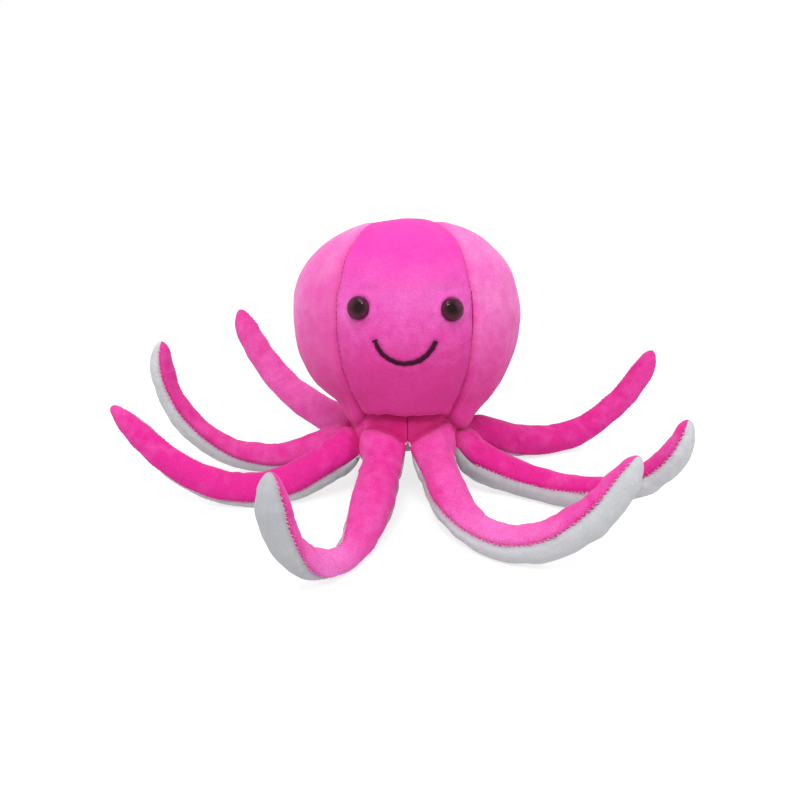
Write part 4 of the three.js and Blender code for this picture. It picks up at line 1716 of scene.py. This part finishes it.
    def _creases(self, out: Array, side: int) -> tuple[Array, Array]:
        """The folds that the arm's bends press into its fabric.

        Args:
            out: The way out at each point.
            side: 1 for the top and -1 for the underside.

        Returns:
            The depth of the folds and the painted shade in them, from 0 to 1.
        """
        along = self.share[:, None] * self.length
        press = (out * self.bend[:, None]).sum(-1) * self.radius[:, None]
        firm = ease((press - 0.05) / 0.28)
        rng = np.random.default_rng(self.seed * 7 + side)
        wobble = 0.0
        for wave_length in (9 * MM, 14 * MM, 23 * MM):
            strength = rng.uniform(0.4, 1.0)
            way = unit(rng.normal(size=3))
            wobble = wobble + strength * np.sin(out @ way * rng.uniform(2, 4) + along / wave_length)
        fold = (0.5 + 0.5 * np.cos(math.tau * along / self.fold_pitch + 2.6 * wobble)) ** 4
        spots = np.stack([along + 0.0 * press, 14 * MM * out[..., 2], 14 * MM * out[..., 0]], -1)
        patch = Lumps(self.loose_size, 1.0, self.seed + 200 + side).at(spots)
        loose = ease((patch - 0.2) / 0.7) * (1.0 - firm)
        ripple = (0.5 + 0.5 * np.cos(math.tau * along / self.ripple_pitch + 3.4 * wobble)) ** 2
        pressed = (0.35 + 0.65 * ease(0.5 + patch)) * firm
        depth = pressed * (self.fold_depth * fold - self.fold_puff)
        depth = depth + loose * (self.ripple_depth * ripple - self.ripple_puff)
        # Painted shade in the pressed folds and the loose ripples.
        return depth, 0.45 * pressed * fold + 0.14 * loose * ripple

    def skin_of(self, side: int) -> Skin:
        """The arm's top or underside.

        Args:
            side: 1 for the pink top and -1 for the white underside.

        Returns:
            The fabric from the neck seam or the trunk's foot to the tip.
        """
        angle = np.linspace(0.0, math.pi, self.columns)[None, :] + np.zeros((self.stations, 1))
        radius = self.radius[:, None] + 0.0 * angle
        plain = self._ring(side, angle, radius)
        out = unit(plain - self.line[:, None])
        across = np.minimum(angle, math.pi - angle) * self.radius[:, None]
        along = self.share[:, None] * self.length
        near_tip = ease((1.0 - self.share[:, None]) / 0.05)
        groove = hump(across, self.groove_width) * near_tip
        depth = self.groove_depth * groove + self.seam_roll.at(across) * near_tip
        pucker = np.cos(math.tau * along / self.pucker_pitch + side)
        depth = depth + pucker * self.seam_pucker.at(across) * near_tip
        folds, hollow = self._creases(out, side)
        depth = depth + folds * near_tip
        stretched = np.stack([along + 0 * across, 0.4 * self.radius[:, None] * angle, 0 * angle + side], -1)
        depth = depth - near_tip * Lumps(15 * MM, 0.45 * MM, self.seed).at(stretched)
        depth = depth - near_tip * Lumps(34 * MM, 0.5 * MM, self.seed + 50).at(plain)
        if self.swell is not None:
            depth = depth - self._swell_at(side) * near_tip
        radius = radius - depth * np.minimum(1.0, self.radius[:, None] / (5 * MM))
        points = self._ring(side, angle, radius)
        # Painted shade in the seams' grooves and the folds, and on the underside by the arm's shade.
        hollow = np.clip(hollow + 0.6 * groove + (self.shade if side == -1 else 0.0), 0.0, 1.0)
        # Painted sheen along a stretch of the arm; where the amount is below 0 it is painted shade.
        place, reach, amount = self.brushed
        brushed = amount * hump(self.share[:, None] - place, reach) + 0.0 * angle
        return self._rooted(side, points, hollow, brushed)

    def _swell_at(self, side: int) -> Array:
        """How far the simulated stuffing swells one side of the arm, at its own points."""
        table = self.swell
        sides = table.shape[1]
        half = sides // 2
        picked = np.arange(half + 1) if side == 1 else (half + np.arange(half + 1)) % sides
        coarse = table[:, picked]
        rows = np.linspace(0.0, table.shape[0] - 1.0, self.stations)
        tall = rows_at(coarse, rows)
        columns = np.linspace(0.0, half, self.columns)
        return rows_at(tall.T, columns).T

    def tube(self, rings: int, sides: int) -> tuple[Array, Array]:
        """The arm's plain shape for the stuffing.

        Args:
            rings: The number of rings.
            sides: The number of points in each.

        Returns:
            The rings' points, and how firmly a seam holds each.
        """
        rows = np.linspace(0.0, self.stations - 1.0, rings)
        line, right, up = (rows_at(t, rows) for t in (self.line, self.right, self.up))
        radius = rows_at(self.radius[:, None], rows)
        angle = np.arange(sides) * math.tau / sides
        ring = right[:, None] * np.cos(angle)[None, :, None] + up[:, None] * np.sin(angle)[None, :, None]
        points = line[:, None] + ring * radius[:, :, None]
        held = np.zeros((rings, sides))
        held[:, [0, sides // 2]] = 1.0
        held[[0, 1, -2, -1]] = 1.0
        return points, held

    def take_swell(self, moves: Array, rings: int, sides: int) -> None:
        """Keeps how far the stuffing moved each ring's points outward."""
        points, _ = self.tube(rings, sides)
        middle = points.mean(axis=1, keepdims=True)
        self.swell = levelled((moves * unit(points - middle)).sum(-1))

    def _neck_line(self, bearing: Array) -> Array:
        """Where the pink fabric starts under the head's edge, in the level frame of the arms' ring."""
        ring = direction(bearing) * self.neck_radius + UP * self.neck_rise
        level = turned(ring, (1, 0, 0), -self.neck_lean)
        level[:, 2] = np.maximum(level[:, 2], self.rest_height)
        return level

    def _band(self, bearing: Array, corner: Array) -> Array:
        """The smooth band of the top fabric from the head's edge down to the arm's crease.

        Args:
            bearing: The bearings from the front of the fabric's threads.
            corner: 1 where a thread runs down to the notch beside the arm, and 0 in the arm's middle.

        Returns:
            The band's points, shaped rows by threads by 3.
        """
        level = self._neck_line(bearing)
        outward = unit(level * LEVEL)
        reach = np.linalg.norm(level, axis=1)
        high = np.degrees(np.arcsin(level[:, 2] / reach))
        notch = self.trunk.notch_angle(bearing)
        aside = np.clip((np.abs(bearing) - self.wedge) / self.wedge, -1.0, 1.0)
        rise = self.crease_rise + aside * (self.crease_tilt if self.in_front else 0.0)
        low = np.minimum(notch + rise * (1.0 - corner), high - self.band_least)
        low = low * (1.0 - corner) + notch * corner
        end_reach = (reach - self.crease_recess) * (1.0 - corner) + self.trunk.ball_radius * corner
        rows = []
        for share in np.linspace(0.0, 1.0, self.band_rows):
            angle = np.radians(high + (low - high) * share)[:, None]
            length = (reach + (end_reach - reach) * share)[:, None]
            rows.append((outward * np.cos(angle) + UP * np.sin(angle)) * length)
        return turned(np.stack(rows), (1, 0, 0), -self.trunk.tilt) + self.pivot

    def _sole(self, bearing: Array, corner: Array, notches: Array) -> Array:
        """The part of the underside that lies on the trunk's foot, out to the notches beside the arm.

        Args:
            bearing: The bearings from the front of the fabric's threads.
            corner: 1 where a thread runs out to the notch beside the arm, and 0 in the arm's middle.
            notches: The notch beside the arm's first thread and the one beside its last.

        Returns:
            The sole's points, shaped rows by threads by 3.
        """
        inner = self.trunk.foot(bearing, self.foot_radius)
        outer = self.trunk.foot(bearing, self.under_radius)
        side = np.where(np.arange(len(bearing)) < len(bearing) / 2, 0, 1)
        outer = outer * (1.0 - corner[:, None]) + notches[side] * corner[:, None]
        share = np.linspace(0.0, 1.0, self.band_rows)[:, None, None]
        return inner[None] * (1.0 - share) + outer[None] * share

    def _rooted(self, side: int, points: Array, hollow: Array, brushed: Array) -> Skin:
        """Joins a side of the arm to the trunk, with the arm's seams running on to the notches beside it.

        Args:
            side: 1 for the top and -1 for the underside.
            points: The side's points from the hinge to the tip.
            hollow: How much painted shade darkens them, in seams, creases and shadowed places.
            brushed: How much painted sheen lightens it there, below 0 where painted shade darkens it.

        Returns:
            The whole skin, pressed flat where it rests on the floor.
        """
        first = int(round(self.root_reach / self.length * (self.stations - 1)))
        across = np.linspace(0.0, 1.0, self.columns)
        bearing = self.bearing + side * self.wedge * (1.0 - 2.0 * across)
        sharper = self.front_sharpness * float(self.in_front) * (np.abs(bearing) > abs(self.bearing))
        corner = np.abs(2.0 * across - 1.0) ** (self.corner_sharpness + sharper)
        top_bearing = self.bearing + self.wedge * np.array([1.0, -1.0])
        corners = self._band(top_bearing, np.ones(2))[-1]
        if side == 1:
            start = self._band(bearing, corner)
        else:
            start = self._sole(bearing, corner, corners[::-1])
        begin = start[-1]
        arrive = points[first]
        out = unit((begin - self.pivot) * LEVEL)
        lean = out * 0.8 + UP * (0.12 if side == 1 else -0.25) * (1.0 - corner[:, None])
        aside = 0.35 * out + 0.65 * self.forward[first] - UP * 0.1
        leave = unit(lean * (1.0 - corner[:, None]) + aside * corner[:, None])
        span = np.linalg.norm(arrive - begin, axis=1, keepdims=True)
        bends = [begin, begin + leave * span * 0.4, arrive - self.forward[first] * span * 0.42, arrive]
        t = np.linspace(0.0, 1.0, self.root_rows)[:-1, None, None]
        weights = [(1 - t) ** 3, 3 * t * (1 - t) ** 2, 3 * t * t * (1 - t), t**3]
        patch = sum(w * b[None] for w, b in zip(weights, bends))
        edge = np.minimum(across, 1.0 - across)[None, :]
        inward = ease(1.0 - t[..., 0])
        # Painted shade along the patch's edges by the notches and at its start.
        patch_painted_shade = 0.75 * inward * hump(edge, 0.09) + 0.8 * hump(t[..., 0], 0.07)
        share = np.linspace(0.0, 1.0, self.band_rows)[:-1, None]
        # Painted shade on the band under the head's overhang, strongest in front, and on the sole.
        facing = 0.3 + 0.7 * ease((52.0 - np.abs(bearing)) / 28.0)[None, :]
        start_painted_shade = (0.8 + 0.2 * hump(1.0 - share, 0.2)) * facing
        rising = ease(np.linspace(0.0, 1.0, len(start) - 1 + len(patch)))[:, None]
        joined = Skin(
            np.concatenate([start[:-1], patch, points[first:]]),
            np.clip(np.concatenate([start_painted_shade, patch_painted_shade, hollow[first:]]), 0.0, 1.0),
            np.concatenate([rising * brushed[first], brushed[first:]]),
        )
        self.patch_end = len(start) - 1 + self.root_rows
        rows = np.arange(len(joined.points))[:, None]
        root = ease((rows - 1) / 8.0) * ease((self.patch_end + 30 - rows) / 30.0)
        lumps = Lumps(self.root_lump_size, self.root_lump_height, self.seed + 90)
        depth = -root * lumps.at(joined.points)
        if side == 1:
            depth = depth + self.root_crease * hump((rows - len(start)) / 4.0, 1.0)
        depth = ease(edge / 0.16) * depth
        if side == 1:
            band = ease((len(start) - 1 - rows) / 3.0)
            depth = depth + band * self.band_seam.at(edge)
        joined = joined.sunk(depth)
        self._press_on_floor(joined.points)
        return joined

    @staticmethod
    def _press_on_floor(points: Array) -> None:
        """Flattens what would lie under the floor, and what is just over it a little."""
        soft = 0.35 * MM
        over = (points[..., 2] - FLOOR_HEIGHT) / soft
        points[..., 2] = FLOOR_HEIGHT + soft * np.logaddexp(0.0, over)

    def fuzz_strips(self, skin: Skin) -> Object:
        """The narrow strips that loose fibres grow from.

        Args:
            skin: The arm's top.

        Returns:
            Strips along its two edges, where these are clear of the floor.
        """
        rows = slice(self.patch_end, -4)
        count = skin.points.shape[0] - self.patch_end - 4
        places, faces = [], []
        for first, second in ((0, 1), (-2, -1)):
            strip = skin.points[rows][:, [first, second]]
            ids = len(places) * 2 * count + np.arange(2 * count).reshape(count, 2)
            corners = np.stack([ids[:-1, 0], ids[:-1, 1], ids[1:, 1], ids[1:, 0]], -1)
            faces += corners[strip[:-1, 0, 2] > FLOOR_HEIGHT + self.fibre_clear].tolist()
            places.append(strip.reshape(-1, 3))
        return mesh_object("fibre_strips", np.concatenate(places), faces)

    def seam_stitches(self, skin: Skin) -> StitchPath:
        """The slanting stitches that show along a top skin's two edges."""
        paths = []
        rows = slice(self.patch_end, -3)
        for edge, hand in ((0, 1.0), (-1, -1.0)):
            path = StitchPath.beside(skin, rows, edge, self.seam_pitch, self.seam_stitch_half)
            across = unit(np.cross(path.out, path.along)) * hand
            path.along = unit(0.75 * path.along + 0.65 * across)
            paths.append(path)
        return StitchPath.joined(paths)

    def build(
        self,
        fabrics: dict[Slot, Material],
        fibres: GeometryTree,
        stitches: GeometryTree,
        fluff: Material,
    ) -> None:
        """Makes the arm's pieces and hides the parts that they replace.

        Args:
            fabrics: The plush material of each slot.
            fibres: The tree that grows loose fibres.
            stitches: The tree that lays stitches.
            fluff: The material of the fibres and the stitches.
        """
        forward = self.forward[0]
        start = self.root - forward * self.blend_before
        end = self.root + forward * self.blend_after
        top = self.skin_of(1)
        halves = ((top, "pink", "top", Slot.PINK), (self.skin_of(-1), "white", "under", Slot.WHITE))
        for skin, colour, part, slot in halves:
            made = skin.piece(f"{self.name}_{colour}_fabric", self.skin)
            made.data.materials.append(fabrics[slot])
            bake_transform(made)
            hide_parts(f"{self.name}_{part}", *([f"{self.name}_filling"] if slot is Slot.PINK else []))
        values = {
            "Density": self.fibre_density,
            "Length": self.fibre_length,
            "Thickness": self.fibre_thickness,
            "Lean": self.fibre_lean,
            "Seed": self.seed,
            "Material": fluff,
        }
        fuzz = fibres.apply(self.fuzz_strips(top), f"{self.name}_seam_fibres", values)
        values = {"Thread Radius": 0.3 * MM, "Jitter": 0.25, "Seed": self.seed, "Material": fluff}
        sewn = stitches.apply(self.seam_stitches(top).carrier(), f"{self.name}_seam_stitches", values)
        for made in (fuzz, sewn):
            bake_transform(made)
        log.info("%s: %d fibre faces", self.name, len(fuzz.data.polygons))


def all_arms(trunk: Trunk) -> list[Arm]:
    """The eight arms as they were laid down, each with its own widths, painted sheen and painted shade."""
    laid: dict[str, dict[str, object]] = {
        "front_left": dict(
            heading=(-13, -9, -17, -41, -60, -66),
            climb=(-16, -18, -17, 23, 72, 96),
            roll=(0, -3, -6, -12, -32, -64, -66, -8, 20, 24, 26),
            width_shares=(1.0, 1.0, 1.05, 1.0, 0.78, 0.56, 0.62, 0.73, 0.74, 0.7, 0.62),
            brushed=(0.6, 0.15, 0.9),
            shade=0.75,
        ),
        "front_right": dict(
            heading=(22, 14, 42, 76, 92, 96),
            climb=(-17, -24, -9, 22, 48, 67),
            roll=(0, -8, -14, -18, -42, -60),
            width_shares=(1.0, 1.0, 0.98, 0.92, 0.8, 0.82, 0.92, 0.94, 0.86, 0.74, 0.62),
            brushed=(0.5, 0.2, 0.75),
            shade=0.3,
        ),
        "mid_right": dict(
            heading=(78, 71, 50, 41, 50, 63),
            climb=(-35, -14, 8, 30, 49, 90),
            roll=(0, -12, -18, -12, 0, 0),
            brushed=(0.2, 0.35, -0.3),
        ),
        "rear_right": dict(
            heading=(117, 115, 111, 109, 113, 122),
            climb=(-3, -22, -5, 26, 46, 60),
            roll=(0, 40, 62, 60, 50, 45),
            brushed=(0.4, 0.6, -0.25),
        ),
        "back_right": dict(
            heading=(158, 164, 168, 168, 166, 164),
            climb=(-26, -12, 4, 20, 38, 50),
            roll=(0, 0, 0, 0, 0, 0),
        ),
        "back_left": dict(
            heading=(-153, -137, -125, -122, -126, -131),
            climb=(-38, -6, 11, 29, 49, 61),
            roll=(0, -32, -48, -48, -45, -45),
            width_shares=(1.0, 1.02, 1.0, 0.9, 0.78, 0.64),
            brushed=(0.5, 0.5, 0.4),
        ),
        "rear_left": dict(
            heading=(-103, -85, -85, -95, -110, -127),
            climb=(-22, -22, 9, 37, 65, 103),
            roll=(0, -15, -15, 15, 25, 30),
            width_shares=(1.0, 0.9, 0.78, 0.74, 0.68, 0.6),
        ),
        "mid_left": dict(
            heading=(-63, -66, -82, -102, -119, -126),
            climb=(-24, -21, 1, 24, 34, 28),
            roll=(0, -10, -28, -45, -45, -40),
            width_shares=(1.0, 0.98, 0.86, 0.78, 0.66, 0.5),
            brushed=(0.4, 0.5, -0.32),
        ),
    }
    first_seed = 11
    return [
        Arm(trunk, f"arm_{name}", seed=first_seed + index, **given)
        for index, (name, given) in enumerate(laid.items())
    ]


# Stage


def seen_directly(tree: Tree) -> Value:
    """1 for what the camera sees by itself or in gloss or clear plastic, and 0 for what only gives light."""
    path = tree.node("ShaderNodeLightPath", {}, {})
    kinds = [Value(tree, path.outputs[f"Is {kind} Ray"]) for kind in ("Camera", "Glossy", "Transmission")]
    return (kinds[0] + kinds[1] + kinds[2]).held(0.0, 1.0)


@dataclass(frozen=True)
class Lamp:
    """A soft lamp that points at the object. Its flatness is its height as a share of its size."""

    name: str
    place: tuple[float, float, float]
    size: float
    power: float
    flatness: float = 1.0

    def build(self) -> None:
        """Adds the lamp to the scene."""
        data = bpy.data.lights.new(self.name, "AREA")
        data.shape = "RECTANGLE"
        data.size = self.size
        data.size_y = self.size * self.flatness
        data.energy = self.power
        lamp = added(self.name, data)
        lamp.location = self.place
        lamp.rotation_euler = Vector(self.place).to_track_quat("Z", "Y").to_euler()


@dataclass
class Stage:
    """The white floor, the soft light and the camera."""

    elevation: float = 20.0
    distance: float = 540 * MM
    aim_from_pivot: tuple[float, float, float] = (0.0, -28.5 * MM, 25.5 * MM)
    shift_right: float = 4.5 * MM
    shift_up: float = 9.9 * MM
    lens: float = 40.5
    sensor: float = 36.0
    nearest: float = 0.01
    floor_size: float = 6.0
    floor_roughness: float = 0.9
    floor_grey: float = 0.75
    floor_seen_grey: float = 0.9
    floor_glow: float = 1.46
    glow_share: float = 0.5
    world_strength: float = 0.6
    lamps: tuple[Lamp, ...] = (
        Lamp("key", (-0.3, -0.42, 1.32), 0.6, 5.8),
        Lamp("catch", (-0.04, -0.68, 0.9), 0.34, 3.2, 0.36),
        Lamp("left", (-1.3, -0.3, 0.7), 1.0, 1.4),
        Lamp("right", (1.3, -0.3, 0.7), 1.0, 3.0),
        Lamp("back", (0.3, 1.1, 1.0), 1.0, 4.0),
    )

    def build(self) -> None:
        """Sets up the camera, the floor, the world and the lamps."""
        self._camera()
        self._floor()
        self._world()
        for lamp in self.lamps:
            lamp.build()
        bpy.context.scene.view_settings.view_transform = "Standard"

    def _camera(self) -> None:
        """Creates the camera at the photograph's viewing angle."""
        data = bpy.data.cameras.new("camera")
        data.lens = self.lens
        data.sensor_width = self.sensor
        data.clip_start = self.nearest
        camera = added("camera", data)
        tip = math.radians(self.elevation)
        look = Vector((0.0, math.cos(tip), -math.sin(tip)))
        up = Vector((0.0, math.sin(tip), math.cos(tip)))
        aim = Vector(HEAD_HINGE) + Vector(self.aim_from_pivot)
        aside = Vector((self.shift_right, 0, 0))
        camera.location = aim - look * self.distance - aside + up * self.shift_up
        camera.rotation_euler = (math.radians(90.0 - self.elevation), 0.0, 0.0)
        bpy.context.scene.camera = camera

    def _floor(self) -> None:
        """Lays the pale floor, which is white to the camera and keeps the object's shadow."""
        half = self.floor_size / 2.0
        corners = np.array([(-half, -half, 0), (half, -half, 0), (half, half, 0), (-half, half, 0)])
        corners[:, 2] = FLOOR_HEIGHT
        floor = mesh_object("floor", corners, [(0, 1, 2, 3)])
        material, tree, shader = new_material("floor")
        white = tree.node("ShaderNodeEmission", {}, {"Color": grey(1.0), "Strength": self.floor_glow})
        seen = seen_directly(tree)
        paint = tree.mix(seen, grey(self.floor_grey), grey(self.floor_seen_grey))
        tree.feed(shader, {"Base Color": paint, "Roughness": self.floor_roughness})
        tree.show("Material Output", seen * self.glow_share, shader, white)
        floor.data.materials.append(material)

    def _world(self) -> None:
        """Gives even light from all round, and white behind the object."""
        world = bpy.data.worlds.new("studio")
        bpy.context.scene.world = world
        world.use_nodes = True
        tree = Tree(world.node_tree)
        ground = world.node_tree.nodes["Background"]
        tree.feed(ground, {"Color": grey(1.0), "Strength": self.world_strength})
        white = tree.node("ShaderNodeBackground", {}, {"Color": grey(1.0), "Strength": 1.0})
        tree.show("World Output", seen_directly(tree), ground, white)


def stuff_arms(arms: Sequence[Arm]) -> None:
    """Fills all the arms in one cloth simulation."""
    rings, sides = 84, 20
    shapes, grips = zip(*[arm.tube(rings, sides) for arm in arms])
    moves = Stuffing(pressure=5.0, slack=0.05, most=1.4 * MM).moves(shapes, grips)
    for arm, move in zip(arms, moves):
        arm.take_swell(move, rings, sides)


def main() -> None:
    """Builds the octopus and its stage."""
    logging.basicConfig(level=logging.INFO, format="%(message)s")
    Stage().build()
    plushes = {Slot.PINK: PINK_PLUSH, Slot.SIDE: SIDE_PLUSH, Slot.WHITE: WHITE_PLUSH}
    fabrics = {slot: plush.build() for slot, plush in plushes.items()}
    trunk = Trunk()
    Head(trunk.tilt).build(fabrics, FRONT_PLUSH.build())
    trunk.build(fabrics)
    arms = all_arms(trunk)
    stuff_arms(arms)
    fibres, stitches, fluff = fibre_tree(), stitch_tree(), FLUFF_THREAD.build()
    for arm in arms:
        arm.build(fabrics, fibres, stitches, fluff)
    washer = WASHER_PLASTIC.build()
    for side in ("left", "right"):
        for slot in frame["nodes"][f"{side}_eye_washer"].material_slots:
            slot.material = washer


if __name__ == "__main__":
    main()
